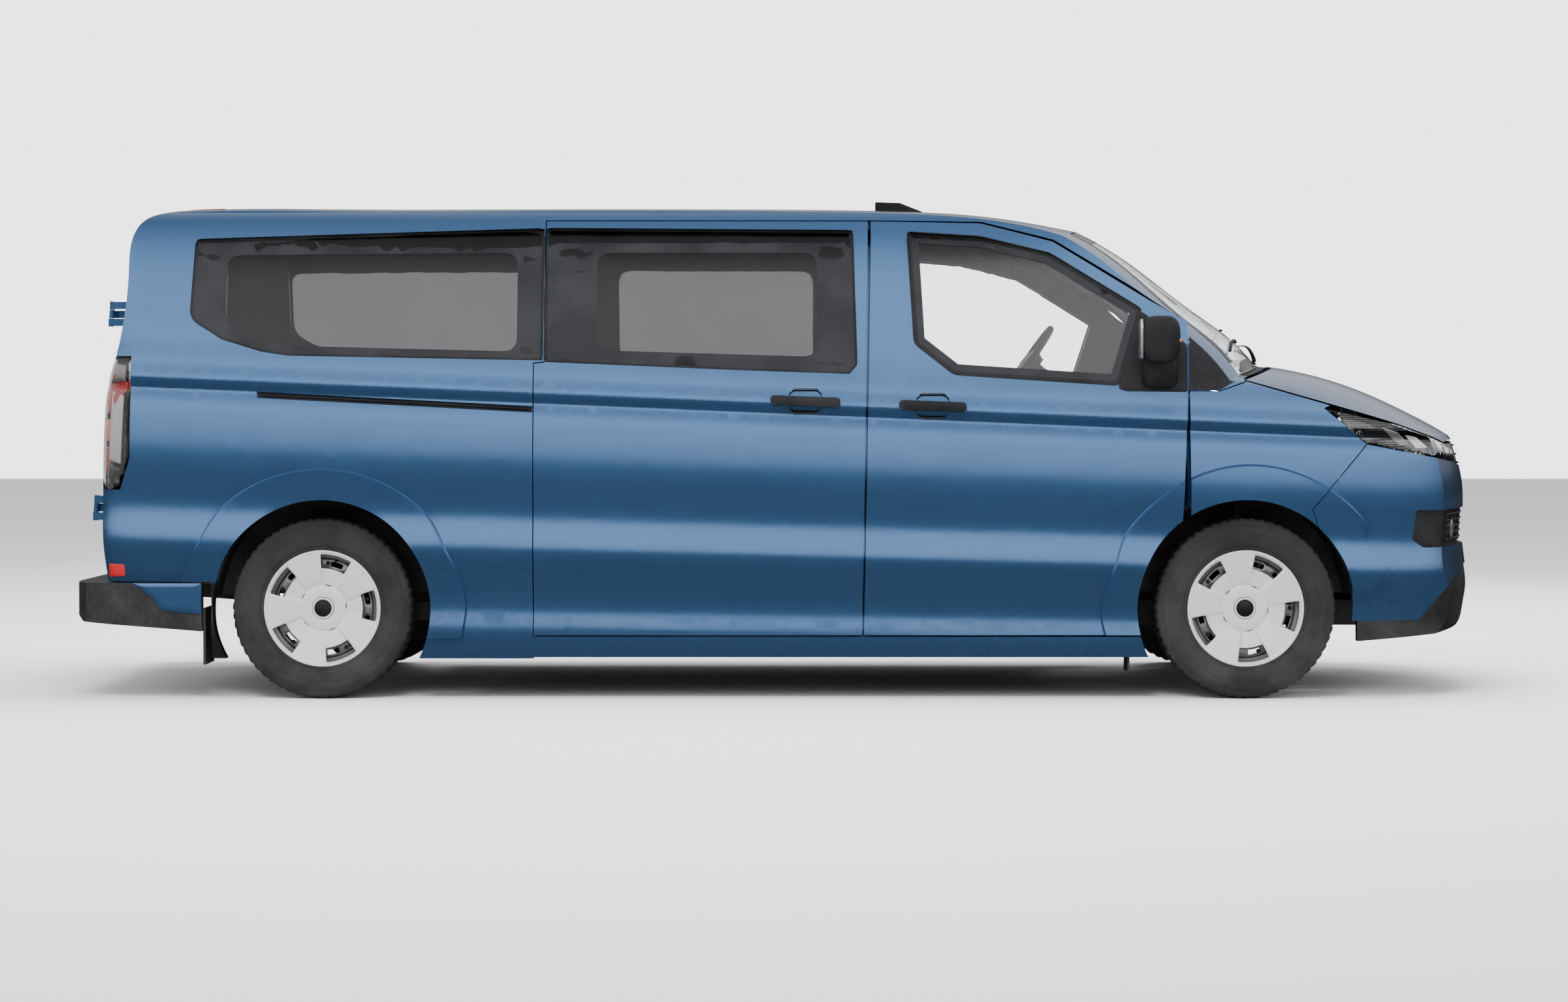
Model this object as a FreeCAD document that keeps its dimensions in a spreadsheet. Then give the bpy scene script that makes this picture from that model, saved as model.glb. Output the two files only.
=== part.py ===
# Long-wheelbase minibus with a sliding door on each side and twin rear doors.
# Millimetres. X points forward, Y to the left, Z up; the origin is on the ground under the middle.
import FreeCAD, Part
import Sketcher
import math
import os
from types import SimpleNamespace
from FreeCAD import Matrix, Placement, Rotation, Vector

os.makedirs("parts", exist_ok=True)
doc = FreeCAD.newDocument("Minibus")

# Driving sizes
SIZES = [
    ("body_length", 5450, "bumper to bumper"),
    ("body_height", 1898, "roof crown over the ground"),
    ("half_width", 1004, "middle plane to the side ridge"),
    ("wheelbase", 3500, "front axle to rear axle"),
    ("front_overhang", 990, "front axle to nose"),
    ("track", 1730, "between tyre middles"),
    ("tyre_radius", 343, "outer radius of a tyre"),
    ("tyre_width", 215, "section width of a tyre"),
    ("rim_radius", 215, "bead seat of a tyre"),
    ("cover_radius", 222, "outer edge of a wheel face"),
    ("hub_radius", 62, "hub behind a wheel"),
    ("hub_bore", 33, "centre bore of a wheel"),
    ("arch_radius", 412, "wheel arch opening"),
    ("flare_height", 12, "arch flare over the side"),
    ("flare_reach", 515, "arch flare from the axle"),
    ("tub_radius", 430, "inside of a wheel tub"),
    ("tub_wall", 8, "sheet of a wheel tub"),
    ("sill_height", 170, "underside of the sills"),
    ("ridge_height", 530, "lower side ridge"),
    ("swage_height", 1085, "crease under the windows"),
    ("belt_height", 1241, "lower edge of the side glass"),
    ("swage_slope", 2.4, "degrees, crease falls to the front"),
    ("ridge_slope", 1.45, "degrees, ridge falls to the front"),
    ("sill_slope", 0.5, "degrees, sill falls to the front"),
    ("belt_inset", 62, "ridge to belt, sideways"),
    ("gutter_half_width", 690, "middle plane to the roof gutter"),
    ("roof_crown", 36, "roof middle over the gutter"),
    ("nose_sweep", 250, "nose set back at the corners"),
    ("rear_step", 100, "rear bumper behind the rear doors"),
    ("door_thickness", 58, "outer skin to inner trim of a door"),
    ("skin", 14, "outer shell of a door at its edge"),
    ("hem", 20, "inner door set back from the edge"),
    ("gap", 4, "seam between fixed panels"),
    ("swing_gap", 7, "seam round a moving panel"),
    ("seat_clearance", 0.3, "seated piece to its seat"),
    ("glass_thickness", 5, "side and rear glass"),
    ("glass_inset", 2, "side glass behind the skin"),
    ("glass_lap", 34, "glass over its frame"),
    ("front_door_setback", 218, "front door edge behind the front axle"),
    ("front_door_length", 1217, "front door edge to the middle pillar line"),
    ("sliding_door_length", 1262, "sliding door along the side"),
    ("door_foot", 243, "lower edge of the side doors"),
    ("door_head", 1818, "upper edge of the side doors"),
    ("hinge_setback", 55, "door pin behind the front door edge"),
    ("hinge_half_width", 940, "middle plane to the door pin"),
    ("fender_thickness", 10, "front fender"),
    ("bonnet_thickness", 24, "bonnet with its frame"),
    ("roof_thickness", 28, "roof with its lining"),
    ("bumper_thickness", 40, "front bumper"),
    ("pillar_depth", 52, "inner pillars, inwards"),
    ("floor_top", 590, "cabin floor"),
    ("floor_thickness", 30, "cabin floor"),
    ("rear_door_thickness", 48, "rear doors"),
    ("rear_door_half_width", 842, "middle plane to a rear door edge"),
    ("rear_door_foot", 452, "lower edge of the rear doors"),
    ("rear_hinge_offset", 16, "rear door pin behind the door face"),
    ("kingpin_foot", 775, "lower steering pivot from the middle"),
    ("kingpin_head", 668, "upper steering pivot from the middle"),
    ("wheel_turn_room", 548, "inner wall of the front tubs"),
    ("rear_tub_inner", 640, "inner wall of the rear tubs"),
    ("steering_rim", 190, "radius of the steering wheel"),
    ("steering_offset", 450, "driver's middle from the middle plane"),
    ("steering_tilt", 55, "degrees, steering wheel from level"),
    ("seat_depth", 500, "front to back of a seat cushion"),
    ("seat_back_height", 640, "cushion to the top of a seat back"),
]
sheet = doc.addObject("Spreadsheet::Sheet", "Sizes")
for row, (alias, value, meaning) in enumerate(SIZES, 1):
    sheet.set(f"A{row}", alias)
    sheet.set(f"B{row}", str(value))
    sheet.set(f"C{row}", meaning)
    sheet.setAlias(f"B{row}", alias)
doc.recompute()
s = SimpleNamespace(**{alias: float(sheet.get(alias)) for alias, _, _ in SIZES})

# Places that follow from the driving sizes
NOSE = s.body_length / 2
TAIL = -s.body_length / 2
BACK = TAIL + s.rear_step
FRONT_AXLE = NOSE - s.front_overhang
REAR_AXLE = FRONT_AXLE - s.wheelbase
AXLE_HEIGHT = s.tyre_radius
HALF_TRACK = s.track / 2
A_LINE = FRONT_AXLE - s.front_door_setback
B_LINE = A_LINE - s.front_door_length
C_LINE = B_LINE - s.sliding_door_length
GUTTER = s.body_height - s.roof_crown
FAR = s.half_width * 1.4
SEAT = s.seat_clearance


def vec(x, y, z):
    return Vector(x, y, z)


def chord(points):
    """Even parameters along a row of points, from 0 to 1."""
    marks = [0.0]
    for a, b in zip(points, points[1:]):
        marks.append(marks[-1] + a.distanceToPoint(b))
    return [mark / marks[-1] for mark in marks]


def spline(points, marks):
    curve = Part.BSplineCurve()
    curve.interpolate(Points=points, Parameters=marks)
    return curve.toShape()


def closed_face(points):
    return Part.Face(Part.makePolygon(points + [points[0]]))


def side_prism(points, y_from=-FAR, y_to=FAR):
    """Outline of (x, z) points seen from the side, extruded across."""
    return closed_face([vec(x, y_from, z) for x, z in points]).extrude(vec(0, y_to - y_from, 0))


def plan_prism(points, z_from=0.0, z_to=2200.0):
    """Outline of (x, y) points seen from above, extruded up."""
    return closed_face([vec(x, y, z_from) for x, y in points]).extrude(vec(0, 0, z_to - z_from))


def end_prism(points, x_from, x_to):
    """Outline of (y, z) points seen along the body, extruded forward."""
    return closed_face([vec(x_from, y, z) for y, z in points]).extrude(vec(x_to - x_from, 0, 0))


def grown(points, amount):
    """Outline moved outwards by an amount, or inwards where it is negative, with its corners kept."""
    if amount == 0:
        return list(points)
    count = len(points)
    area = sum(points[i - 1][0] * points[i][1] - points[i][0] * points[i - 1][1] for i in range(count))
    turn = 1.0 if area > 0 else -1.0
    moved = []
    for i, (x, z) in enumerate(points):
        before = Vector(x - points[i - 1][0], z - points[i - 1][1], 0).normalize()
        after = Vector(points[(i + 1) % count][0] - x, points[(i + 1) % count][1] - z, 0).normalize()
        n1 = Vector(before.y, -before.x, 0) * turn
        n2 = Vector(after.y, -after.x, 0) * turn
        middle = (n1 + n2).normalize()
        reach = amount / max(0.35, middle.dot(n1))
        moved.append((x + middle.x * reach, z + middle.y * reach))
    return moved


def box(x_from, x_to, y_from, y_to, z_from, z_to):
    corner = vec(min(x_from, x_to), min(y_from, y_to), min(z_from, z_to))
    return Part.makeBox(abs(x_to - x_from), abs(y_to - y_from), abs(z_to - z_from), corner)


def across(radius, x, z, y_from, y_to):
    """Cylinder along Y."""
    low = min(y_from, y_to)
    return Part.makeCylinder(radius, abs(y_to - y_from), vec(x, low, z), vec(0, 1, 0))


def joined(shapes):
    result = shapes[0]
    if len(shapes) > 1:
        result = result.multiFuse(shapes[1:])
    return result.removeSplitter()


def mirrored(shape):
    return shape.mirror(vec(0, 0, 0), vec(0, 1, 0))


def both_sides(shape):
    return [shape, mirrored(shape)]


# Body form: a loft of cross-sections, trimmed by a loft of side silhouettes
LOWER_SIDE = [(0, 1.1), (0.22, 0.8), (0.40, 1.0), (0.53, 0.98), (0.78, 0.5), (1, 0)]
MIDDLE_SIDE = [(0.20, 0.37), (0.41, 0.31), (0.61, 0.24), (0.81, 0.47), (0.955, 0.86), (1, 1)]
UPPER_SIDE = [(0.21, 0.088), (0.42, 0.194), (0.74, 0.393), (0.87, 0.54), (0.95, 0.742), (1, 1),
              (1.05, 1.3), (1.1, 1.65)]
SILL_INSET = 40
SWAGE_INSET = 49
SWAGE_LIP = 18


def cross_section(x, cut, inset):
    """Half section (z, y) from under the sill to over the gutter, narrowed by cut and offset by inset."""
    sill = s.sill_height - x * math.tan(math.radians(s.sill_slope))
    ridge = s.ridge_height - x * math.tan(math.radians(s.ridge_slope))
    swage = s.swage_height - x * math.tan(math.radians(s.swage_slope))
    belt = s.belt_height - x * math.tan(math.radians(s.swage_slope))
    gutter = GUTTER - inset
    width = s.half_width - cut - inset
    lean = s.half_width - s.belt_inset - s.gutter_half_width
    points = [(sill - SILL_INSET * 1.75, width - SILL_INSET * 1.5)]
    points += [(sill + (ridge - sill) * f, width - SILL_INSET * g) for f, g in LOWER_SIDE]
    points += [(ridge + (swage - ridge) * f, width - SWAGE_INSET * g) for f, g in MIDDLE_SIDE]
    points.append((swage + SWAGE_LIP, width - SWAGE_INSET + SWAGE_LIP * 0.55))
    points.append(((swage + belt) / 2, width - SWAGE_INSET))
    points.append((belt, width - s.belt_inset))
    points += [(belt + (gutter - belt) * f, width - s.belt_inset - lean * g) for f, g in UPPER_SIDE]
    return points


SECTION_MARKS = chord([vec(0, -y, z) for z, y in cross_section(0, 0, 0)])
SECTION_BACK_MARKS = [1 - mark for mark in reversed(SECTION_MARKS)]


def section_wire(x, cut, inset):
    half = cross_section(x, cut, inset)
    right = [vec(x, -y, z) for z, y in half]
    left = [vec(x, y, z) for z, y in reversed(half)]
    return Part.Wire([
        spline(right, SECTION_MARKS),
        Part.makeLine(right[-1], left[0]),
        spline(left, SECTION_BACK_MARKS),
        Part.makeLine(left[-1], right[0]),
    ])


# How much the side turns in, at distances from the back and from the nose
BACK_ROUNDING = [(-60, 300), (-25, 200), (10, 112), (40, 66), (90, 34), (180, 15), (420, 4), (1100, 0)]
NOSE_ROUNDING = [(1700, 2), (1025, 14), (625, 42), (425, 78), (305, 122), (225, 175), (165, 240), (100, 330),
                 (0, 480), (-60, 570)]


def tube(inset):
    wires = [section_wire(BACK + inset + run, cut, inset) for run, cut in BACK_ROUNDING]
    wires.append(section_wire(0, 0, inset))
    wires += [section_wire(NOSE - inset - run, cut, inset) for run, cut in NOSE_ROUNDING]
    return Part.makeLoft(wires, True, False)


# Silhouette points: x from the nose, z, fall and set-back at the side
NOSE_LINE = [(-95, 80), (-75, 200), (-25, 264), (-11, 326), (0, 404), (-3, 451), (-18, 560), (-12, 716),
             (-20, 840), (-34, 900), (-53, 964), (-72, 995)]
BONNET_LINE = [(-130, 1030, 15, 245), (-235, 1085, 30, 236), (-395, 1160, 55, 222), (-550, 1216, 70, 208),
               (-750, 1262, 67, 193), (-852, 1275, 62, 186)]
SCREEN_LINE = [(-947, 1379, 62, 184), (-1098, 1492, 64, 170), (-1327, 1665, 63, 145), (-1575, 1809, 61, 118)]
# Roof points: share of the way back from the windscreen, below the crown, set-back at the side
ROOF_LINE = [(0.04, 62, 60), (0.10, 30, 20), (0.17, 12, 0), (0.31, 2, 0), (0.58, 0, 0), (0.78, 1, 0),
             (0.963, 5, 0), (0.988, 20, 0), (1.0, 48, -10)]
# Back points: x from the rear doors, z, fall and set-back at the side
BACK_LINE = [(110, 1810, 50, -20), (90, 1604, 0, -25), (45, 1286, 0, -25), (23, 1211, 0, -25), (0, 969, 0, -25),
             (0, 560, 0, -25), (15, 440, 0, -25), (45, 80, 0, -25)]
SHAPE_HALF = 900
LINE_HEIGHT = 1898


def silhouette_points():
    """Five rows of (x, z, fall, set-back) round the side view, nose first."""
    rise = s.body_height - LINE_HEIGHT
    nose = [(NOSE + x, z, 0, s.nose_sweep) for x, z in NOSE_LINE]
    bonnet = [(NOSE + x, z, fall, back) for x, z, fall, back in BONNET_LINE]
    screen = [(NOSE + x, z + rise * (z - 1275) / 534, fall, back) for x, z, fall, back in SCREEN_LINE]
    head = NOSE + SCREEN_LINE[-1][0]
    fall = s.roof_crown * (SHAPE_HALF / s.gutter_half_width) ** 2
    run = BACK + 135 - head
    roof = [(head + run * share, s.body_height - drop, fall, back) for share, drop, back in ROOF_LINE]
    back = [(BACK + x, z + rise * max(0, z - 1286) / 524, fall, b) for x, z, fall, b in BACK_LINE]
    return [nose, bonnet, screen, roof, back]


def silhouette_wire(y, inset):
    rows = silhouette_points()
    flat = [point for row in rows for point in row]
    square = (abs(y) / SHAPE_HALF) ** 2
    cube = (abs(y) / SHAPE_HALF) ** 3
    last = len(flat) - 1
    moved = []
    for i, (x, z, fall, back) in enumerate(flat):
        if i == 0:
            normal = vec(-1, 0, 0)
            reach = inset
        elif i == last:
            normal = vec(1, 0, 0)
            reach = inset
        else:
            turn_in = math.atan2(z - flat[i - 1][1], x - flat[i - 1][0])
            turn_out = math.atan2(flat[i + 1][1] - z, flat[i + 1][0] - x)
            n1 = vec(-math.sin(turn_in), 0, math.cos(turn_in))
            n2 = vec(-math.sin(turn_out), 0, math.cos(turn_out))
            normal = (n1 + n2).normalize()
            reach = inset / max(0.5, normal.dot(n1))
        ahead = x > NOSE - 1000 and z > 900
        drop = fall * (cube if ahead else square)
        moved.append(vec(x + normal.x * reach - back * square, y, z + normal.z * reach - drop))
    edges = []
    start = 0
    for row, marks in zip(rows, SILHOUETTE_MARKS):
        first = max(0, start - 1)
        stop = start + len(row)
        points = moved[first:stop]
        edges.append(spline(points, marks if marks else chord(points)))
        start = stop
    edges.append(Part.makeLine(moved[-1], moved[0]))
    return Part.Wire(edges)


def silhouette_marks():
    rows = silhouette_points()
    marks = []
    before = None
    for row in rows:
        points = [vec(x, 0, z) for x, z, _, _ in row]
        if before is not None:
            points.insert(0, before)
        marks.append(chord(points))
        before = points[-1]
    return marks


SILHOUETTE_MARKS = silhouette_marks()
SILHOUETTE_STATIONS = (0, 250, 500, 750, 950, 1150)


def silhouette(inset):
    stations = [-y for y in reversed(SILHOUETTE_STATIONS) if y] + list(SILHOUETTE_STATIONS)
    return Part.makeLoft([silhouette_wire(y, inset) for y in stations], True, False)


FORMS = {}


def side_form(inset):
    """Solid within the body sides only, offset inwards by inset."""
    key = ("side", round(inset, 3))
    if key not in FORMS:
        FORMS[key] = tube(inset)
    return FORMS[key]


def top_form(inset):
    """Solid within the nose, bonnet, windscreen, roof and back only, offset inwards by inset."""
    key = ("top", round(inset, 3))
    if key not in FORMS:
        FORMS[key] = silhouette(inset)
    return FORMS[key]


def form(inset):
    """The body's whole solid form, offset inwards by inset."""
    key = ("whole", round(inset, 3))
    if key not in FORMS:
        FORMS[key] = side_form(inset).common(top_form(inset))
    return FORMS[key]


def arch_cut(axle, radius=None):
    """Wheel arch opening through both sides."""
    reach = s.arch_radius if radius is None else radius
    return across(reach, axle, AXLE_HEIGHT, -FAR, FAR)


FLARE_ROOT = 60
FLARE_SLOPE = 0.6


def flare(axle):
    """Arch flare on the right side."""
    key = ("flare", axle)
    if key not in FORMS:
        low = s.half_width - FLARE_ROOT
        high = s.half_width + s.flare_height + 6
        base = s.flare_reach + (high - low) * FLARE_SLOPE
        cone = Part.makeCone(base, s.flare_reach, high - low, vec(axle, -low, AXLE_HEIGHT), vec(0, -1, 0))
        band = box(axle - 900, axle + 900, -300, -FAR, s.sill_height + 60, 1100)
        FORMS[key] = side_form(-s.flare_height).common(cone).common(band)
    return FORMS[key]


def layer(region, outer, inner, kind=form):
    """Piece of a shell between two offsets inside a region."""
    return kind(outer).common(region).cut(kind(inner))


def flared(region, depth, axle, kind=form):
    """Piece of the right side's shell inside a region, with its arch flare and opening."""
    piece = kind(0).common(region).fuse(flare(axle).common(region))
    return piece.cut(kind(depth)).cut(arch_cut(axle))


def place(name, shape):
    feature = doc.addObject("Part::Feature", name)
    feature.Shape = shape
    feature.Placement = Placement()
    feature.Label = name
    PIECES.append(feature)
    return feature


PIECES = []

# Side outlines, seen from the right
HALF_SWING = s.swing_gap / 2
PILLAR_LEAN = 9
BELT = s.belt_height
HEAD = s.door_head
FOOT = s.door_foot


def b_line(z, offset):
    """Middle shut line at a height: it leans forward towards the roof."""
    return B_LINE + offset + PILLAR_LEAN * (z - BELT) / (HEAD - BELT)


front_door_outline = [
    (b_line(FOOT, HALF_SWING), FOOT),
    (b_line(HEAD, HALF_SWING + 5), HEAD),
    (FRONT_AXLE - 1000, HEAD - 8),
    (FRONT_AXLE - 725, HEAD - 80),
    (FRONT_AXLE - 360, HEAD - 306),
    (A_LINE, HEAD - 386),
    (A_LINE, BELT - 107),
    (A_LINE - 24, 690),
    (A_LINE - 24, FOOT),
]
front_glass_outline = [
    (B_LINE + 156, HEAD - 44),
    (B_LINE + 435, HEAD - 62),
    (FRONT_AXLE - 739, HEAD - 125),
    (FRONT_AXLE - 390, HEAD - 340),
    (FRONT_AXLE - 480, BELT - 52),
    (B_LINE + 330, BELT - 11),
    (B_LINE + 180, BELT + 107),
]
sliding_door_outline = [
    (C_LINE, FOOT),
    (C_LINE, BELT + 30),
    (C_LINE + 40, BELT + 34),
    (C_LINE + 40, HEAD),
    (b_line(HEAD, -HALF_SWING), HEAD),
    (b_line(FOOT, -HALF_SWING), FOOT),
]
sliding_glass_outline = [
    (C_LINE + 41, BELT + 36),
    (C_LINE + 41, HEAD - 30),
    (B_LINE - 54, HEAD - 38),
    (B_LINE - 38, BELT + 24),
    (B_LINE - 66, BELT - 9),
    (B_LINE - 500, BELT + 6),
]
sliding_opening = [
    (C_LINE + 230, BELT + 75),
    (C_LINE + 230, HEAD - 118),
    (B_LINE - 184, HEAD - 118),
    (B_LINE - 184, BELT + 50),
]
quarter_glass_outline = [
    (REAR_AXLE - 503, BELT + 219),
    (REAR_AXLE - 489, HEAD - 73),
    (C_LINE + 32, HEAD - 31),
    (C_LINE + 32, BELT + 42),
    (REAR_AXLE - 127, BELT + 60),
    (REAR_AXLE - 229, BELT + 75),
    (REAR_AXLE - 382, BELT + 122),
    (REAR_AXLE - 485, BELT + 189),
]
quarter_opening = [
    (REAR_AXLE - 375, BELT + 190),
    (REAR_AXLE - 375, HEAD - 128),
    (C_LINE - 60, HEAD - 118),
    (C_LINE - 60, BELT + 70),
    (REAR_AXLE - 150, BELT + 92),
    (REAR_AXLE - 300, BELT + 135),
]


def with_glass(piece, glass_outline, opening):
    """Cut a rebate and an opening in a side panel and make the pane that fills the rebate."""
    pane_back = s.glass_inset + s.glass_thickness
    rebate = side_prism(grown(glass_outline, SEAT), -FAR, -300).cut(side_form(pane_back + SEAT))
    framed = piece.cut(rebate).cut(side_prism(opening, -FAR, -300))
    pane = layer(side_prism(glass_outline, -FAR, -300), s.glass_inset, pane_back, side_form)
    return framed, pane


def side_door(outline, core_front):
    """Right-hand door: outer shell to the outline, inner part set back by the hem and ended at core_front."""
    skin = flared(side_prism(outline, -FAR, -300), s.skin, FRONT_AXLE, side_form)
    core = layer(side_prism(grown(outline, -s.hem), -FAR, -300), s.skin, s.door_thickness, side_form)
    core = core.cut(arch_cut(FRONT_AXLE, s.arch_radius + s.hem))
    core = core.cut(box(core_front, NOSE, -FAR, 0, 0, s.body_height))
    return joined([skin, core]).cut(crown_plan(DOOR_CLEAR))


# Plan outline of the roof and windscreen
CROWN_HALF = s.gutter_half_width + 12
DOOR_CLEAR = 8
PILLAR_HEAD_X = NOSE - 1645
SCREEN_TOP_HALF = 640
SCREEN_FLARE = 0.268


def crown_plan(edge):
    """Plan outline of roof and windscreen together, edge wider."""
    half = CROWN_HALF + edge
    top = SCREEN_TOP_HALF + edge
    base = top + SCREEN_FLARE * 920
    rear = [(BACK - 200, -half), (PILLAR_HEAD_X - 80, -half)]
    right = rear + [(PILLAR_HEAD_X, -top), (PILLAR_HEAD_X + 920, -base)]
    left = [(x, -y) for x, y in reversed(right)]
    return plan_prism(right + left, s.floor_top)


# Grips on the side doors, standing proud over a shallow cup
GRIP_PROUD = 20
GRIP_HALF_HEIGHT = 17
CUP_DEPTH = 9
CUP_HALF = 62


def with_grip(door, x_from, x_to, z_rear, z_front):
    """Door with a bar handle from (x_from, z_rear) to (x_to, z_front) and a cup behind its middle."""
    bar = [(x_from, z_rear - GRIP_HALF_HEIGHT), (x_to, z_front - GRIP_HALF_HEIGHT),
           (x_to, z_front + GRIP_HALF_HEIGHT), (x_from, z_rear + GRIP_HALF_HEIGHT)]
    grip = layer(side_prism(bar, -FAR, -300), -GRIP_PROUD, 1, side_form)
    middle = (x_from + x_to) / 2
    height = (z_rear + z_front) / 2
    cup = [(middle - CUP_HALF, height - 30), (middle - CUP_HALF + 18, height - 44),
           (middle + CUP_HALF - 18, height - 44), (middle + CUP_HALF, height - 30),
           (middle + CUP_HALF, height + 30), (middle + CUP_HALF - 18, height + 44),
           (middle - CUP_HALF + 18, height + 44), (middle - CUP_HALF, height + 30)]
    cup_region = side_prism(cup, -FAR, -300)
    door = door.cut(cup_region.cut(side_form(CUP_DEPTH)))
    return door.fuse(grip.cut(cup_region.common(side_form(-GRIP_PROUD / 2)))).removeSplitter()


# Front doors
HINGE_X = A_LINE - s.hinge_setback
HINGE_LEVELS = (750, 925)
KNUCKLE_RADIUS = 8
KNUCKLE_HALF = 13
KNUCKLE_PLAY = 0.4
LEAF_REACH = 40
CORE_BEHIND_PIN = 7
SWING_FROM = 560
SWING_TO = 1110


def swing_room(radius):
    """Room round the pin for the front edge of the turning door."""
    return Part.makeCylinder(radius, SWING_TO - SWING_FROM, vec(HINGE_X, -s.hinge_half_width, SWING_FROM))


def hinge_pocket(level):
    return box(HINGE_X - LEAF_REACH, A_LINE + 1, -s.hinge_half_width - 11, -s.hinge_half_width + 90,
               level - 3 * KNUCKLE_HALF - 8, level + 3 * KNUCKLE_HALF + 8)


def door_knuckle(level):
    pin = Part.makeCylinder(KNUCKLE_RADIUS, 2 * KNUCKLE_HALF,
                            vec(HINGE_X, -s.hinge_half_width, level - KNUCKLE_HALF))
    leaf = box(HINGE_X - LEAF_REACH - 12, HINGE_X, -s.hinge_half_width - 4, -s.hinge_half_width + 4,
               level - KNUCKLE_HALF, level + KNUCKLE_HALF)
    return pin.fuse(leaf)


def pillar_knuckles(level):
    pieces = []
    for low in (level - 3 * KNUCKLE_HALF, level + KNUCKLE_HALF + KNUCKLE_PLAY):
        height = 2 * KNUCKLE_HALF - KNUCKLE_PLAY
        pieces.append(Part.makeCylinder(KNUCKLE_RADIUS, height, vec(HINGE_X, -s.hinge_half_width, low)))
        pieces.append(box(HINGE_X - 4, HINGE_X + 5, -s.hinge_half_width, -s.hinge_half_width + 80,
                          low, low + height))
    return pieces


front_door = side_door(front_door_outline, HINGE_X - CORE_BEHIND_PIN)
front_door, front_pane = with_glass(front_door, front_glass_outline, grown(front_glass_outline, -s.glass_lap))
for level in HINGE_LEVELS:
    front_door = front_door.cut(hinge_pocket(level)).fuse(door_knuckle(level))
FRONT_GRIP = (FRONT_AXLE - 1310, FRONT_AXLE - 1064)
front_door = with_grip(front_door, FRONT_GRIP[0], FRONT_GRIP[1], 1115, 1105)
place("front_door_right", front_door)
place("front_door_left", mirrored(front_door))
place("front_glass_right", front_pane)
place("front_glass_left", mirrored(front_pane))

# Sliding doors
sliding_door = side_door(sliding_door_outline, A_LINE)
sliding_door, sliding_pane = with_glass(sliding_door, sliding_glass_outline, sliding_opening)
SLIDING_GRIP = (B_LINE - 362, B_LINE - 106)
sliding_door = with_grip(sliding_door, SLIDING_GRIP[0], SLIDING_GRIP[1], 1133, 1123)
place("sliding_door_right", sliding_door)
place("sliding_door_left", mirrored(sliding_door))

# Rear doors, seen from behind, and the pillars beside them
REAR_HEAD = HEAD - 10
LEAN_IN = 88
LEAN_FROM = BELT + 20


def rear_door_outline(side, edge):
    """(y, z) outline of one rear door, edge wider than the door itself."""
    half = s.rear_door_half_width + edge
    middle = -edge if edge > 0 else HALF_SWING
    return [
        (side * middle, s.rear_door_foot - edge),
        (side * half, s.rear_door_foot - edge),
        (side * half, LEAN_FROM),
        (side * (half - LEAN_IN), REAR_HEAD + edge),
        (side * middle, REAR_HEAD + edge),
    ]


def rear_glass_outline(side):
    return [
        (side * 66, BELT + 4),
        (side * (s.rear_door_half_width - 62), BELT + 4),
        (side * (s.rear_door_half_width - LEAN_IN - 46), REAR_HEAD - 62),
        (side * 66, REAR_HEAD - 52),
    ]


REAR_FROM = BACK - 400
REAR_TO = BACK + 420


def rear_door(side):
    outline = rear_door_outline(side, 0)
    skin = form(0).common(end_prism(outline, REAR_FROM, REAR_TO)).cut(top_form(s.skin))
    core_region = end_prism(grown(outline, -s.hem), REAR_FROM, REAR_TO)
    core = layer(core_region, s.skin, s.rear_door_thickness, top_form).common(form(0))
    glass = rear_glass_outline(side)
    pane_back = s.glass_inset + s.glass_thickness
    rebate = end_prism(grown(glass, SEAT), REAR_FROM, REAR_TO).cut(top_form(pane_back + SEAT))
    door = joined([skin, core]).cut(rebate)
    door = door.cut(end_prism(grown(glass, -s.glass_lap), REAR_FROM, REAR_TO))
    pane = layer(end_prism(glass, REAR_FROM, REAR_TO), s.glass_inset, pane_back, top_form)
    return door, pane


# The pins' line leans with the back, so that both hinges stay near it
REAR_PIN_Y = s.rear_door_half_width + 4
REAR_HINGE_LEVELS = (722, 1461)
REAR_PIN_SLOPE = 0.085
REAR_KNUCKLE = 10
REAR_KNUCKLE_HALF = 16
STRAP_REACH = 84
rear_pin_way = vec(REAR_PIN_SLOPE, 0, 1).normalize()


def rear_pin(side, level):
    """Point on the pins' line at a height."""
    ahead = REAR_PIN_SLOPE * (level - REAR_HINGE_LEVELS[0])
    return vec(BACK - s.rear_hinge_offset + ahead, side * REAR_PIN_Y, level)


def rear_door_strap(side, level):
    pin = Part.makeCylinder(REAR_KNUCKLE, 2 * REAR_KNUCKLE_HALF,
                            rear_pin(side, level - REAR_KNUCKLE_HALF), rear_pin_way)
    x = rear_pin(side, level).x
    low = level - REAR_KNUCKLE_HALF + 2
    high = level + REAR_KNUCKLE_HALF - 2
    door_edge = s.rear_door_half_width - LEAN_IN * max(0, level - LEAN_FROM) / (REAR_HEAD - LEAN_FROM) - 8
    plate = box(x - 5, x + 5, side * (REAR_PIN_Y - STRAP_REACH), side * REAR_PIN_Y, low, high)
    foot = box(x - 5, x + 130, side * (REAR_PIN_Y - STRAP_REACH), side * door_edge, low, high)
    return pin.multiFuse([plate, foot.cut(top_form(s.skin / 2))])


def rear_pillar_straps(side, level):
    pieces = []
    for low in (level - 3 * REAR_KNUCKLE_HALF, level + REAR_KNUCKLE_HALF + KNUCKLE_PLAY):
        height = 2 * REAR_KNUCKLE_HALF - KNUCKLE_PLAY
        pieces.append(Part.makeCylinder(REAR_KNUCKLE, height, rear_pin(side, low), rear_pin_way))
        x = rear_pin(side, low).x
        pieces.append(box(x - 5, x + 130, side * REAR_PIN_Y, side * (REAR_PIN_Y + 22),
                          low + 2, low + height - 2))
    return pieces


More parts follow.
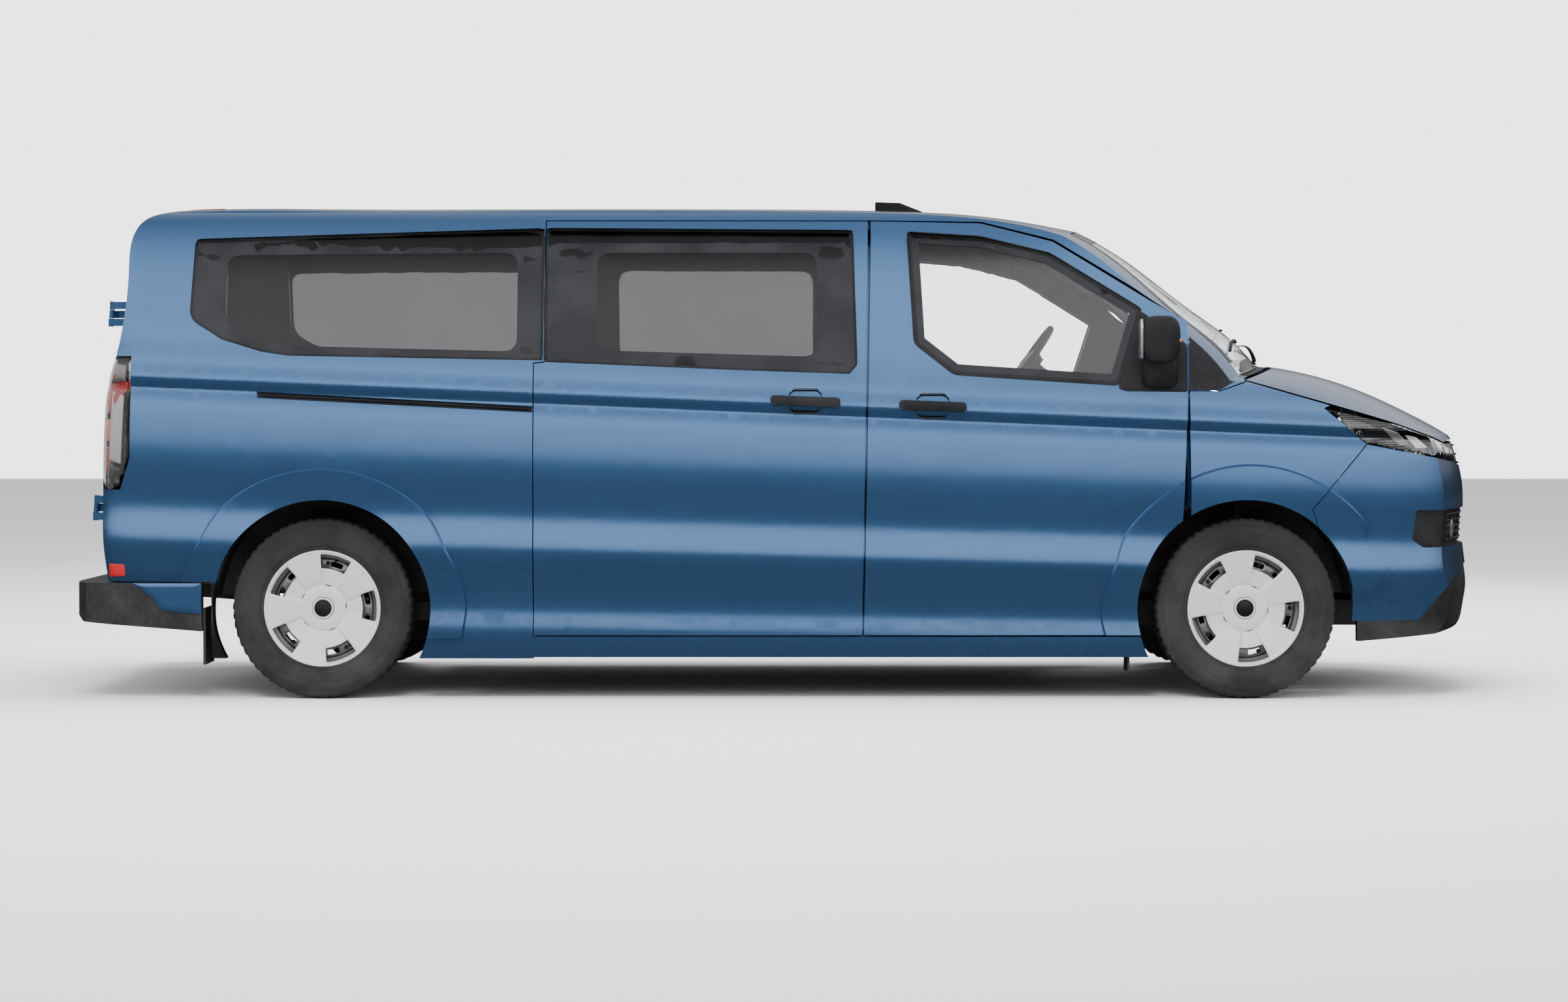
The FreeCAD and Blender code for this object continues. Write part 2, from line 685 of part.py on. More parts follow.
door, pane = rear_door(-1)
for level in REAR_HINGE_LEVELS:
    door = door.fuse(rear_door_strap(-1, level))
door = door.removeSplitter()
place("rear_door_right", door)
place("rear_door_left", mirrored(door))
place("rear_glass_right", pane)
place("rear_glass_left", mirrored(pane))

# Rear quarters: side behind the sliding door, pillar beside the rear door, seat for the tail lamp
QUARTER_DEPTH = s.door_thickness
BUMPER_TOP = s.rear_door_foot - 7
LAMP_FRONT = BACK + 135
LAMP_FOOT = 794
LAMP_HEAD = 1300
quarter_outline = [
    (C_LINE - s.gap, FOOT - 90),
    (C_LINE - s.gap, BELT + 34),
    (C_LINE + 36, BELT + 38),
    (C_LINE + 36, HEAD + 90),
    (BACK - 120, HEAD + 90),
    (BACK - 120, BUMPER_TOP),
    (BACK + 442, BUMPER_TOP),
    (BACK + 442, FOOT - 90),
]
lamp_outline = [
    (BACK - 200, LAMP_FOOT),
    (LAMP_FRONT - 40, LAMP_FOOT),
    (LAMP_FRONT, LAMP_FOOT + 120),
    (LAMP_FRONT, LAMP_HEAD),
    (BACK - 200, LAMP_HEAD),
]
quarter_region = side_prism(quarter_outline, -FAR, -s.gutter_half_width - 12)
quarter = flared(quarter_region, QUARTER_DEPTH, REAR_AXLE)
rear_room = end_prism(rear_door_outline(-1, s.swing_gap), REAR_FROM, REAR_TO)
quarter = quarter.cut(rear_room)
quarter, quarter_pane = with_glass(quarter, quarter_glass_outline, quarter_opening)
lamp_region = side_prism(lamp_outline, -FAR, -s.gutter_half_width - 12)
quarter = quarter.cut(side_prism(grown(lamp_outline, SEAT), -FAR, -300))
tail_lamp = layer(lamp_region, 0, QUARTER_DEPTH).cut(rear_room)
for level in REAR_HINGE_LEVELS:
    for strap in rear_pillar_straps(-1, level):
        quarter = quarter.fuse(strap.cut(form(s.skin)))
        tail_lamp = tail_lamp.cut(strap)
TRACK_DEPTH = 12
track_slot = [(C_LINE - 1049, 1141), (C_LINE + 10, 1085), (C_LINE + 10, 1109), (C_LINE - 1049, 1165)]
quarter = quarter.cut(side_prism(track_slot, -FAR, -300).cut(side_form(TRACK_DEPTH)))
quarter = quarter.removeSplitter()
place("quarter_panel_right", quarter)
place("quarter_panel_left", mirrored(quarter))
high_lamp_plan = [(BACK + 225, -130), (BACK + 360, -130), (BACK + 360, 130), (BACK + 225, 130)]
high_lamp = layer(plan_prism(high_lamp_plan, s.body_height - 120), -9, -SEAT, top_form)
place("rear_lamps", Part.makeCompound(both_sides(tail_lamp) + [high_lamp]))
panes = both_sides(sliding_pane) + both_sides(quarter_pane)
place("side_glass", Part.makeCompound(panes))

# Roof, windscreen and the frame between the doors
HEADER_LOW = (NOSE - 1685, s.body_height - 153)
HEADER_HIGH = (NOSE - 1405, s.body_height - 13)
COWL_LOW = (NOSE - 1135, 1185)
COWL_HIGH = (NOSE - 675, 1332)


def screen_region(edge):
    return [
        (HEADER_LOW[0] - edge * 0.45, HEADER_LOW[1] + edge * 0.9),
        (HEADER_HIGH[0] - edge * 0.45, HEADER_HIGH[1] + edge * 0.9),
        (COWL_HIGH[0] + edge * 0.3, COWL_HIGH[1] - edge * 0.95),
        (COWL_LOW[0] + edge * 0.3, COWL_LOW[1] - edge * 0.95),
    ]


SCREEN_DEPTH = 6
screen = layer(side_prism(screen_region(0)).common(crown_plan(-3)), 0, SCREEN_DEPTH, top_form)
place("windscreen", screen)

roof_region = [
    (BACK - 100, REAR_HEAD + 12),
    (BACK - 100, s.body_height + 90),
    (HEADER_HIGH[0] + 20, s.body_height + 90),
    (HEADER_HIGH[0] - 4, HEADER_HIGH[1] + 4),
    (HEADER_LOW[0] - 4, HEADER_LOW[1] + 4),
    (NOSE - 2125, HEAD - 38),
    (BACK + 220, HEAD - 38),
    (BACK + 140, REAR_HEAD + 12),
]
roof = layer(side_prism(roof_region).common(crown_plan(-2)), 0, s.roof_thickness, top_form)
place("roof_panel", roof)

# Frame: roof rails, windscreen pillars, middle pillars, hinge pillars and sills
FRAME_OUT = s.door_thickness + 6
FRAME_IN = FRAME_OUT + s.pillar_depth
door_top_line = [
    (b_line(HEAD, 0), HEAD + s.swing_gap - 3),
    (FRONT_AXLE - 998, HEAD - 8 + s.swing_gap),
    (FRONT_AXLE - 721, HEAD - 80 + s.swing_gap + 1),
    (FRONT_AXLE - 354, HEAD - 306 + s.swing_gap + 2),
    (A_LINE + s.swing_gap, HEAD - 386 + s.swing_gap),
]
BONNET_CORNER = (NOSE - 983, 1210)
BONNET_REAR_HIGH = (NOSE - 625, 1320)
COWL_CORNER = (BONNET_CORNER[0] - 2.4, BONNET_CORNER[1] + 7.6)
COWL_END = (BONNET_REAR_HIGH[0] - 2.4, BONNET_REAR_HIGH[1] + 7.6)
SAIL_TIP = (NOSE - 1018, BELT - 29)
SAIL_FOOT = (NOSE - 1085, BELT - 73)
rail_region = [(C_LINE + 36 + SEAT, HEAD + s.gap)] + door_top_line + [
    (A_LINE + s.swing_gap, SAIL_FOOT[1] + 2),
    (SAIL_FOOT[0], SAIL_FOOT[1] + 2),
    (BONNET_CORNER[0] - 7, BONNET_CORNER[1] - 6),
    (COWL_CORNER[0], COWL_CORNER[1]),
    (COWL_END[0], COWL_END[1]),
    (NOSE - 1100, s.body_height + 90),
    (C_LINE + 36 + SEAT, s.body_height + 90),
]
frame_parts = []
rails = layer(side_prism(rail_region, -FAR, -300), 0, FRAME_OUT).cut(crown_plan(0))
frame_parts.append(rails)
ledge_region = [
    (C_LINE + 36 + SEAT, HEAD - 60),
    (C_LINE + 36 + SEAT, s.body_height + 90),
    (HEADER_HIGH[0], s.body_height + 90),
    (HEADER_LOW[0] - 4, HEADER_LOW[1] - 60),
]
ledge_plan = crown_plan(0).cut(crown_plan(-46))
ledge_room = side_prism(ledge_region, -FAR, -300).common(ledge_plan)
frame_parts.append(layer(ledge_room, s.roof_thickness + SEAT, FRAME_OUT, top_form))
flange_room = side_prism(screen_region(-1), -FAR, -300).common(crown_plan(0))
flange = layer(flange_room, SCREEN_DEPTH + SEAT, 34, top_form)
flange = flange.cut(side_prism(screen_region(-28)).common(crown_plan(-34)))
frame_parts.append(flange)
middle_pillar = [(b_line(FOOT, -48), FOOT - 60), (b_line(HEAD, -48), HEAD + 30), (b_line(HEAD, 52), HEAD + 30),
                 (b_line(FOOT, 52), FOOT - 60)]
under_roof = crown_plan(-62)
middle = layer(side_prism(middle_pillar, -FAR, -300), FRAME_OUT - 1, FRAME_IN, side_form)
frame_parts.append(middle.cut(under_roof))
seal_land = [(b_line(FOOT, -48), FOOT), (b_line(HEAD, -48), HEAD - 30), (b_line(HEAD, -30), HEAD - 30),
             (b_line(FOOT, -30), FOOT)]
land = layer(side_prism(seal_land, -FAR, -300), s.door_thickness + SEAT, FRAME_OUT, side_form)
frame_parts.append(land.cut(crown_plan(0)))
rail_inner = [(C_LINE + 36 + SEAT, HEAD - 46), (FRONT_AXLE - 1000, HEAD - 54), (FRONT_AXLE - 725, HEAD - 126),
              (A_LINE - 30, HEAD - 400), (A_LINE + 40, HEAD - 400), (A_LINE + 40, HEAD - 300),
              (FRONT_AXLE - 725, HEAD - 40), (FRONT_AXLE - 1000, HEAD + 20), (C_LINE + 36 + SEAT, HEAD + 30)]
inner_rail = layer(side_prism(rail_inner, -FAR, -300), FRAME_OUT - 1, FRAME_IN - 10, side_form)
frame_parts.append(inner_rail.common(top_form(s.roof_thickness + SEAT)).cut(under_roof))
hinge_pillar = [(A_LINE - 70, s.floor_top - 120), (A_LINE - 70, HEAD - 385), (A_LINE + 45, HEAD - 400),
                (A_LINE + 45, s.floor_top - 120)]
tub_room = across(s.tub_radius + s.tub_wall + SEAT, FRONT_AXLE, AXLE_HEIGHT, -FAR, FAR)
post = layer(side_prism(hinge_pillar, -FAR, -300), FRAME_OUT - 1, FRAME_IN + 8, side_form)
frame_parts.append(post.common(top_form(FRAME_OUT)).cut(tub_room).cut(swing_room(62)))
for level in HINGE_LEVELS:
    frame_parts += pillar_knuckles(level)
SILL_FOOT = s.sill_height - 12
sill_region = [(REAR_AXLE, SILL_FOOT), (REAR_AXLE, FOOT - s.swing_gap), (FRONT_AXLE, FOOT - s.swing_gap),
               (FRONT_AXLE, SILL_FOOT)]
sill = layer(side_prism(sill_region, -FAR, -300), 0, FRAME_IN, side_form)
frame_parts.append(sill.cut(arch_cut(FRONT_AXLE)).cut(arch_cut(REAR_AXLE)))
inner_sill = [(REAR_AXLE, FOOT - 30), (REAR_AXLE, s.floor_top - 6), (FRONT_AXLE, s.floor_top - 6),
              (FRONT_AXLE, FOOT - 30)]
inner = layer(side_prism(inner_sill, -FAR, -300), FRAME_OUT - 1, FRAME_IN, side_form)
inner = inner.cut(tub_room).cut(arch_cut(REAR_AXLE, s.tub_radius + s.tub_wall + SEAT))
inner = inner.cut(side_prism(quarter_outline, -FAR, -300))
frame_parts.append(inner)
frame_right = joined(frame_parts)
quarter_room = side_prism(grown(quarter_outline, SEAT), -FAR, -300).cut(side_form(QUARTER_DEPTH + SEAT))
frame_right = frame_right.cut(quarter_room)
header_region = [(HEADER_LOW[0] - 60, HEADER_LOW[1] - 90), (HEADER_LOW[0] - 60, s.body_height + 90),
                 (HEADER_HIGH[0], s.body_height + 90), (HEADER_HIGH[0] + 40, HEADER_HIGH[1] - 20),
                 (HEADER_LOW[0] + 60, HEADER_LOW[1] - 90)]
header = layer(side_prism(header_region).common(crown_plan(0)), s.roof_thickness + SEAT, FRAME_OUT, top_form)

# Bonnet hinges: a knuckle on the frame beside the end of an arm on the bonnet
BONNET_PIN = (NOSE - 983, 1206)
ARM_OUT = -844
ARM_IN = -836
ARM_POCKET = 30
frame_right = frame_right.cut(across(ARM_POCKET, BONNET_PIN[0], BONNET_PIN[1], ARM_OUT - 2, ARM_IN + 1.6))
bonnet_knuckle = across(KNUCKLE_RADIUS, BONNET_PIN[0], BONNET_PIN[1], ARM_IN + KNUCKLE_PLAY, ARM_IN + 10)
bonnet_lug = box(BONNET_PIN[0] - 46, BONNET_PIN[0] + 6, ARM_IN + 2, ARM_IN + 10,
                 BONNET_PIN[1] - 8, BONNET_PIN[1] + 24)
frame_right = joined([frame_right, bonnet_knuckle, bonnet_lug.common(form(1))])
frame = joined(both_sides(frame_right) + [header])
place("body_frame", frame)

# Fenders, bonnet, front bumper
LAMP_TIP = (NOSE - 689, 1102)
LAMP_LOW_REAR = (NOSE - 527, 966)
BUMPER_ARCH = (NOSE - 741, 720)
bonnet_side_line = [BONNET_CORNER, (NOSE - 667, 1120), (NOSE - 400, 1044), (NOSE - 185, 971)]
fender_outline = [
    (A_LINE + s.swing_gap, 600),
    (A_LINE + s.swing_gap, SAIL_FOOT[1] - 2),
    (SAIL_FOOT[0], SAIL_FOOT[1] - 2),
    (NOSE - 992, 1198),
    (bonnet_side_line[0][0], bonnet_side_line[0][1] - s.swing_gap),
    (bonnet_side_line[1][0], bonnet_side_line[1][1] - s.swing_gap),
    LAMP_TIP,
    LAMP_LOW_REAR,
    BUMPER_ARCH,
    (NOSE - 700, 600),
]
fender = flared(side_prism(fender_outline, -FAR, -300), s.fender_thickness, FRONT_AXLE)
FENDER_EDGE = 2.5
edge_strip = side_prism([(A_LINE, 500), (A_LINE, 1200), (A_LINE + 40, 1200), (A_LINE + 40, 500)], -FAR, -300)
fender = fender.cut(side_form(FENDER_EDGE).common(edge_strip))
place("fender_right", fender)
place("fender_left", mirrored(fender))

bonnet_region = [
    BONNET_REAR_HIGH,
    (NOSE + 100, 1320),
    (NOSE + 100, 985),
    (NOSE - 150, 978),
] + list(reversed(bonnet_side_line))
bonnet = layer(side_prism(bonnet_region), 0, s.bonnet_thickness)

# The rear edge is cut straight down, so that it lifts past the cowl
rear_slope = (BONNET_REAR_HIGH[1] - BONNET_CORNER[1]) / (BONNET_REAR_HIGH[0] - BONNET_CORNER[0])
rear_start = (BONNET_CORNER[0] - 60, BONNET_CORNER[1] - 60 * rear_slope)
rear_plane = closed_face([vec(rear_start[0], -FAR, rear_start[1]), vec(rear_start[0], FAR, rear_start[1]),
                          vec(BONNET_REAR_HIGH[0], FAR, BONNET_REAR_HIGH[1]),
                          vec(BONNET_REAR_HIGH[0], -FAR, BONNET_REAR_HIGH[1])])
bonnet = bonnet.cut(rear_plane.common(form(0)).extrude(vec(0, 0, -90)))
arm_outline = [(BONNET_PIN[0] - 5, BONNET_PIN[1] - 6), (BONNET_PIN[0] - 5, BONNET_PIN[1] + 5),
               (BONNET_PIN[0] + 23, BONNET_PIN[1]), (BONNET_PIN[0] + 68, BONNET_PIN[1] - 5),
               (BONNET_PIN[0] + 68, BONNET_PIN[1] - 18), (BONNET_PIN[0] + 33, BONNET_PIN[1] - 16)]
bonnet_arm = side_prism(arm_outline, ARM_OUT, ARM_IN)
bonnet_arm = bonnet_arm.fuse(across(KNUCKLE_RADIUS, BONNET_PIN[0], BONNET_PIN[1], ARM_OUT, ARM_IN))
bonnet = joined([bonnet] + both_sides(bonnet_arm))
place("bonnet", bonnet)

lamp_outline_front = [
    (LAMP_TIP[0] + 3, LAMP_TIP[1] - 1),
    (NOSE - 400, 1044 - s.swing_gap),
    (NOSE - 185, 971 - s.swing_gap),
    (NOSE - 60, 966),
    (NOSE - 40, 880),
    (NOSE - 200, 905),
    (NOSE - 420, 945),
    (LAMP_LOW_REAR[0] + 3, LAMP_LOW_REAR[1]),
]
HEADLAMP_INNER = 450
headlamp = layer(side_prism(lamp_outline_front, -FAR, -HEADLAMP_INNER), 0, s.bumper_thickness)
place("headlamps", Part.makeCompound(both_sides(headlamp)))

GRILLE_FOOT = 872
bumper_outline = [
    (BUMPER_ARCH[0] + s.gap, BUMPER_ARCH[1]),
    (LAMP_LOW_REAR[0] + s.gap, LAMP_LOW_REAR[1] - 2),
    (NOSE - 420, 945 - 1),
    (NOSE - 200, 905 - 1),
    (NOSE - 40, 880 - 1),
    (NOSE + 90, 872),
    (NOSE + 90, 455),
    (NOSE - 153, 455),
    (NOSE - 316, 294),
    (NOSE - 600, 294),
]
intake_outline = [
    (NOSE - 346, 600),
    (NOSE - 300, 570),
    (NOSE + 90, 570),
    (NOSE + 90, 713),
    (NOSE - 330, 713),
]
bumper = flared(side_prism(bumper_outline, -FAR, 0), s.bumper_thickness, FRONT_AXLE)
grille_room = end_prism([(-HEADLAMP_INNER, GRILLE_FOOT + 6), (HEADLAMP_INNER, GRILLE_FOOT + 6),
                         (HEADLAMP_INNER, 1000), (-HEADLAMP_INNER, 1000)], NOSE - 400, NOSE + 100)
bumper = bumper.cut(side_prism(intake_outline)).cut(grille_room)
place("front_bumper", bumper.fuse(mirrored(bumper)))

GRILLE_HALF = HEADLAMP_INNER - SEAT
grille_region = [(-GRILLE_HALF, GRILLE_FOOT + 6 + SEAT), (GRILLE_HALF, GRILLE_FOOT + 6 + SEAT),
                 (GRILLE_HALF, 972), (-GRILLE_HALF, 972)]
grille = layer(end_prism(grille_region, NOSE - 300, NOSE + 100), 6, s.bumper_thickness, top_form)
for level in (905, 940):
    slot = end_prism([(-400, level - 7), (400, level - 7), (400, level + 7), (-400, level + 7)],
                     NOSE - 300, NOSE + 100)
    grille = grille.cut(slot.cut(top_form(26)))
intake = layer(side_prism(grown(intake_outline, -SEAT), -FAR, 0), 16, s.bumper_thickness)
lip_outline = [
    (NOSE - 560, 294 - SEAT), (NOSE - 316, 294 - SEAT), (NOSE - 153, 455 - SEAT), (NOSE + 90, 455 - SEAT),
    (NOSE + 90, 262), (NOSE - 330, 232), (NOSE - 560, 216),
]
lip = layer(side_prism(lip_outline, -FAR, 0), 0, s.bumper_thickness).cut(arch_cut(FRONT_AXLE))
sail_outline = [
    (A_LINE + s.swing_gap + 1, HEAD - 398),
    SAIL_TIP,
    (SAIL_FOOT[0], SAIL_FOOT[1] + 4),
    (A_LINE + s.swing_gap + 1, SAIL_FOOT[1] + 4),
]
sail = layer(side_prism(sail_outline, -FAR, -300), -4, -SEAT, side_form).common(top_form(0))
cowl_outline = [
    (COWL_LOW[0] + 60, COWL_LOW[1] + 60 * 0.32 - 3),
    (COWL_HIGH[0], COWL_HIGH[1] - 3),
    COWL_END,
    COWL_CORNER,
]
cowl = layer(side_prism(cowl_outline).common(crown_plan(-SEAT)), 4, 60, top_form)
whole_intake = intake.fuse(mirrored(intake))
whole_lip = lip.fuse(mirrored(lip))
place("front_trim", Part.makeCompound([grille, whole_intake, whole_lip, cowl] + both_sides(sail)))

# Rear bumper
RAIL_MIDDLE = 460
BUMPER_FOOT = 255
BUMPER_FRONT = BACK + 408
BUMPER_WALL = 45
BUMPER_HALF = s.half_width - 16


def bumper_plan(edge):
    half = BUMPER_HALF - edge
    tail = TAIL + edge
    right = [(BUMPER_FRONT, -half), (BACK + 60, -half + 8), (tail + 62, -half + 40), (tail + 22, -half + 110),
             (tail + 4, -half + 260), (tail, 0)]
    left = [(x, -y) for x, y in reversed(right[:-1])]
    return right + left


bumper_side = [(TAIL + 8, BUMPER_TOP), (TAIL, BUMPER_TOP - 30), (TAIL, BUMPER_FOOT + 80),
               (TAIL + 45, BUMPER_FOOT + 38), (BACK + 445, BUMPER_FOOT), (BACK + 445, BUMPER_TOP)]
rear_bumper = plan_prism(bumper_plan(0), BUMPER_FOOT, BUMPER_TOP - s.gap).common(side_prism(bumper_side))
hollow = plan_prism(bumper_plan(BUMPER_WALL) + [(BACK + 500, BUMPER_HALF - BUMPER_WALL),
                                                (BACK + 500, -BUMPER_HALF + BUMPER_WALL)],
                    BUMPER_FOOT - 10, BUMPER_TOP - s.gap - 22)
shelf_cut = box(BACK + 62, BACK + 500, -BUMPER_HALF + BUMPER_WALL, BUMPER_HALF - BUMPER_WALL,
                BUMPER_FOOT - 10, BUMPER_TOP + 10)
rear_bumper = rear_bumper.cut(hollow).cut(shelf_cut).cut(arch_cut(REAR_AXLE))
bracket = box(TAIL + 40, BACK + 116, -RAIL_MIDDLE, -RAIL_MIDDLE + 60, 400, BUMPER_TOP - s.gap - SEAT)
place("rear_bumper", joined([rear_bumper] + both_sides(bracket)))

# Roof pod
pod_base = layer(plan_prism([(NOSE - 2370, -38), (NOSE - 2182, -24), (NOSE - 2182, 24), (NOSE - 2370, 38)],
                            s.body_height - 100), -44, -SEAT, top_form)
pod_slope = side_prism([(NOSE - 2400, s.body_height + 42), (NOSE - 2290, s.body_height + 42),
                        (NOSE - 2170, s.body_height - 4), (NOSE - 2170, s.body_height + 200),
                        (NOSE - 2400, s.body_height + 200)])
place("roof_pod", pod_base.cut(pod_slope))

# Floor pan with wheel tubs and firewall
FLOOR_FOOT = s.floor_top - s.floor_thickness
FIREWALL_X = NOSE - 1115
FLOOR_REAR = BACK + 86
floor = box(FLOOR_REAR, FIREWALL_X, -FAR, FAR, FLOOR_FOOT, s.floor_top).common(side_form(FRAME_IN + SEAT))
quarter_inside = side_form(QUARTER_DEPTH + SEAT)
rear_floor = box(FLOOR_REAR, C_LINE - 20, -FAR, FAR, FLOOR_FOOT, s.floor_top).common(quarter_inside)
tail_wall = box(FLOOR_REAR, FLOOR_REAR + 30, -FAR, FAR, BUMPER_TOP - s.gap, s.floor_top).common(quarter_inside)

# Rear rails with the bolt holes of a tow bar
RAIL_FOOT = 485
RAIL_TOP = 545
RAIL_HALF = 30
BOLT_X = BACK + 300
BOLT_HALF_SPACING = 60
BOLT_HOLE = 6.5
rail_side = [(BACK + 120, RAIL_FOOT), (BACK + 680, RAIL_FOOT), (BACK + 680, s.floor_top - 5),
             (BACK + 620, s.floor_top - 5), (BACK + 620, RAIL_TOP), (BACK + 180, RAIL_TOP),
             (BACK + 180, s.floor_top - 5), (BACK + 120, s.floor_top - 5)]
rear_rail = side_prism(rail_side, -RAIL_MIDDLE - RAIL_HALF, -RAIL_MIDDLE + RAIL_HALF)
for x in (BOLT_X - BOLT_HALF_SPACING, BOLT_X + BOLT_HALF_SPACING):
    bolt_hole = Part.makeCylinder(BOLT_HOLE, RAIL_TOP - RAIL_FOOT, vec(x, -RAIL_MIDDLE, RAIL_FOOT))
    rear_rail = rear_rail.cut(bolt_hole)


def tub(axle, inner_y, limit):
    """Right wheel tub: a half drum closed on its inner side."""
    outer = across(s.tub_radius + s.tub_wall, axle, AXLE_HEIGHT, -FAR, -inner_y + s.tub_wall)
    keep = box(axle - 600, axle + 600, -FAR, 0, AXLE_HEIGHT + 40, 1200)
    return outer.common(keep).common(limit)


def tub_void(axle, inner_y):
    room = across(s.tub_radius, axle, AXLE_HEIGHT, -FAR, -inner_y)
    return room.fuse(mirrored(room))


door_zone = box(FRONT_AXLE - 700, A_LINE + s.swing_gap + 1, -FAR, FAR, 0, 1300)
front_limit = side_form(s.fender_thickness + SEAT).cut(door_zone.cut(side_form(FRAME_IN + SEAT)))
bumper_zone = box(BUMPER_ARCH[0] - 20, NOSE, -FAR, FAR, 0, 1300)
front_limit = front_limit.cut(bumper_zone.cut(form(s.bumper_thickness)))
firewall_region = box(FIREWALL_X - 12, FIREWALL_X, -FAR, FAR, FLOOR_FOOT, 1176)
firewall = firewall_region.common(side_form(FRAME_IN + 8 + SEAT)).common(top_form(FRAME_OUT))
floor_parts = [floor, rear_floor, tail_wall, firewall] + both_sides(rear_rail)
floor_parts += both_sides(tub(FRONT_AXLE, s.wheel_turn_room, front_limit))
floor_parts += both_sides(tub(REAR_AXLE, s.rear_tub_inner, quarter_inside))
floor_pan = joined(floor_parts)
floor_pan = floor_pan.cut(tub_void(FRONT_AXLE, s.wheel_turn_room)).cut(tub_void(REAR_AXLE, s.rear_tub_inner))
for room in both_sides(swing_room(69)):
    floor_pan = floor_pan.cut(room)
place("floor_pan", floor_pan)

# Dashboard with the steering column
DASH_REAR = NOSE - 1430
dash_outline = [
    (FIREWALL_X - 12 - SEAT, 760),
    (DASH_REAR + 120, 800),
    (DASH_REAR, 1010),
    (DASH_REAR + 20, 1120),
    (DASH_REAR + 90, 1185),
    (FIREWALL_X - 60, 1160),
    (FIREWALL_X - 12 - SEAT, 1140),
]
DASH_HALF = s.half_width - 216
hood_outline = [(DASH_REAR + 20, 1118), (DASH_REAR + 6, 1195), (DASH_REAR + 60, 1232), (DASH_REAR + 170, 1206),
                (DASH_REAR + 200, 1150)]
hood = side_prism(hood_outline, s.steering_offset - 210, s.steering_offset + 210)
dashboard = side_prism(dash_outline, -DASH_HALF, DASH_HALF).fuse(hood)
tilt = math.radians(s.steering_tilt)
WHEEL_CENTRE = vec(NOSE - 1725, s.steering_offset, 1290)
column_way = vec(math.sin(tilt), 0, -math.cos(tilt))
HUB_DEPTH = 60
column = Part.makeCylinder(30, 420, WHEEL_CENTRE + column_way * (HUB_DEPTH + SEAT), column_way)
dashboard = dashboard.cut(tub_void(FRONT_AXLE, s.wheel_turn_room - s.tub_wall)).fuse(column).removeSplitter()
dashboard = dashboard.cut(tub_void(FRONT_AXLE, s.wheel_turn_room).common(dashboard))
place("dashboard", dashboard)

rim = Part.makeTorus(s.steering_rim - 14, 14, WHEEL_CENTRE, column_way)
hub = Part.makeCylinder(58, 34, WHEEL_CENTRE + column_way * 14, column_way)
boss = Part.makeCylinder(30, HUB_DEPTH - 30, WHEEL_CENTRE + column_way * 30, column_way)
spokes = []
down_way = vec(-math.cos(tilt), 0, -math.sin(tilt))
for way in (vec(0, 1, 0), vec(0, -1, 0), down_way):
    length = s.steering_rim - 20
    start = WHEEL_CENTRE + column_way * 22
    spokes.append(Part.makeCylinder(13, length, start, (way * length - column_way * 20).normalize()))
place("steering_wheel", joined([rim, hub, boss] + spokes))


# Seats
def seat(x_back, y_from, y_to, cushion_top, pedestal):
    """Cushion, back and head rests on a pedestal; x_back is the rear of the back at the cushion."""
    back_top = cushion_top + s.seat_back_height
    outline = [
        (x_back + s.seat_depth + 70, cushion_top - 150),
        (x_back + s.seat_depth + 80, cushion_top - 20),
        (x_back + s.seat_depth + 30, cushion_top + 10),
        (x_back + 130, cushion_top - 18),
        (x_back + 66, back_top - 210),
        (x_back + 70, back_top),
        (x_back - 20, back_top),
        (x_back - 40, back_top - 210),
        (x_back - 10, cushion_top - 150),
    ]
    body = side_prism(outline, y_from, y_to)
    foot = box(x_back + 60, x_back + s.seat_depth - 20, y_from + pedestal, y_to - pedestal,
               s.floor_top + SEAT, cushion_top - 150)
    width = y_to - y_from
    places = max(1, round(width / 460))
    notches = []
    for i in range(places + 1):
        middle = y_from + width * i / places
        notches.append(box(x_back - 100, x_back + 120, middle - 70, middle + 70, back_top - 200, back_top + 10))
    return joined([body, foot]).cut(notches[0].multiFuse(notches[1:]))


CUSHION_TOP = s.floor_top + 370
front_back_x = B_LINE + 62
driver = seat(front_back_x, s.steering_offset - 255, s.steering_offset + 255, CUSHION_TOP, 50)
passenger = seat(front_back_x, -s.steering_offset - 305, -s.steering_offset + 455, CUSHION_TOP, 50)
place("front_seats", Part.makeCompound([driver, passenger]))
middle_bench = seat(B_LINE - 1170, -790, 560, CUSHION_TOP - 20, 60)
rear_bench = seat(REAR_AXLE - 500, -612, 612, CUSHION_TOP - 20, 60)
place("rear_benches", Part.makeCompound([middle_bench, rear_bench]))


# Wheels
def wheel_profile(body, name, points):
    """Closed sketch of (radius, offset) points on the body's own XZ plane."""
    plane = [f for f in body.Origin.OriginFeatures if f.Role == "XZ_Plane"][0]
    sketch = body.newObject("Sketcher::SketchObject", name)
    sketch.AttachmentSupport = [(plane, "")]
    sketch.MapMode = "FlatFace"
    for (r1, o1), (r2, o2) in zip(points, points[1:] + points[:1]):
        sketch.addGeometry(Part.LineSegment(vec(r1, o1, 0), vec(r2, o2, 0)), False)
    return sketch


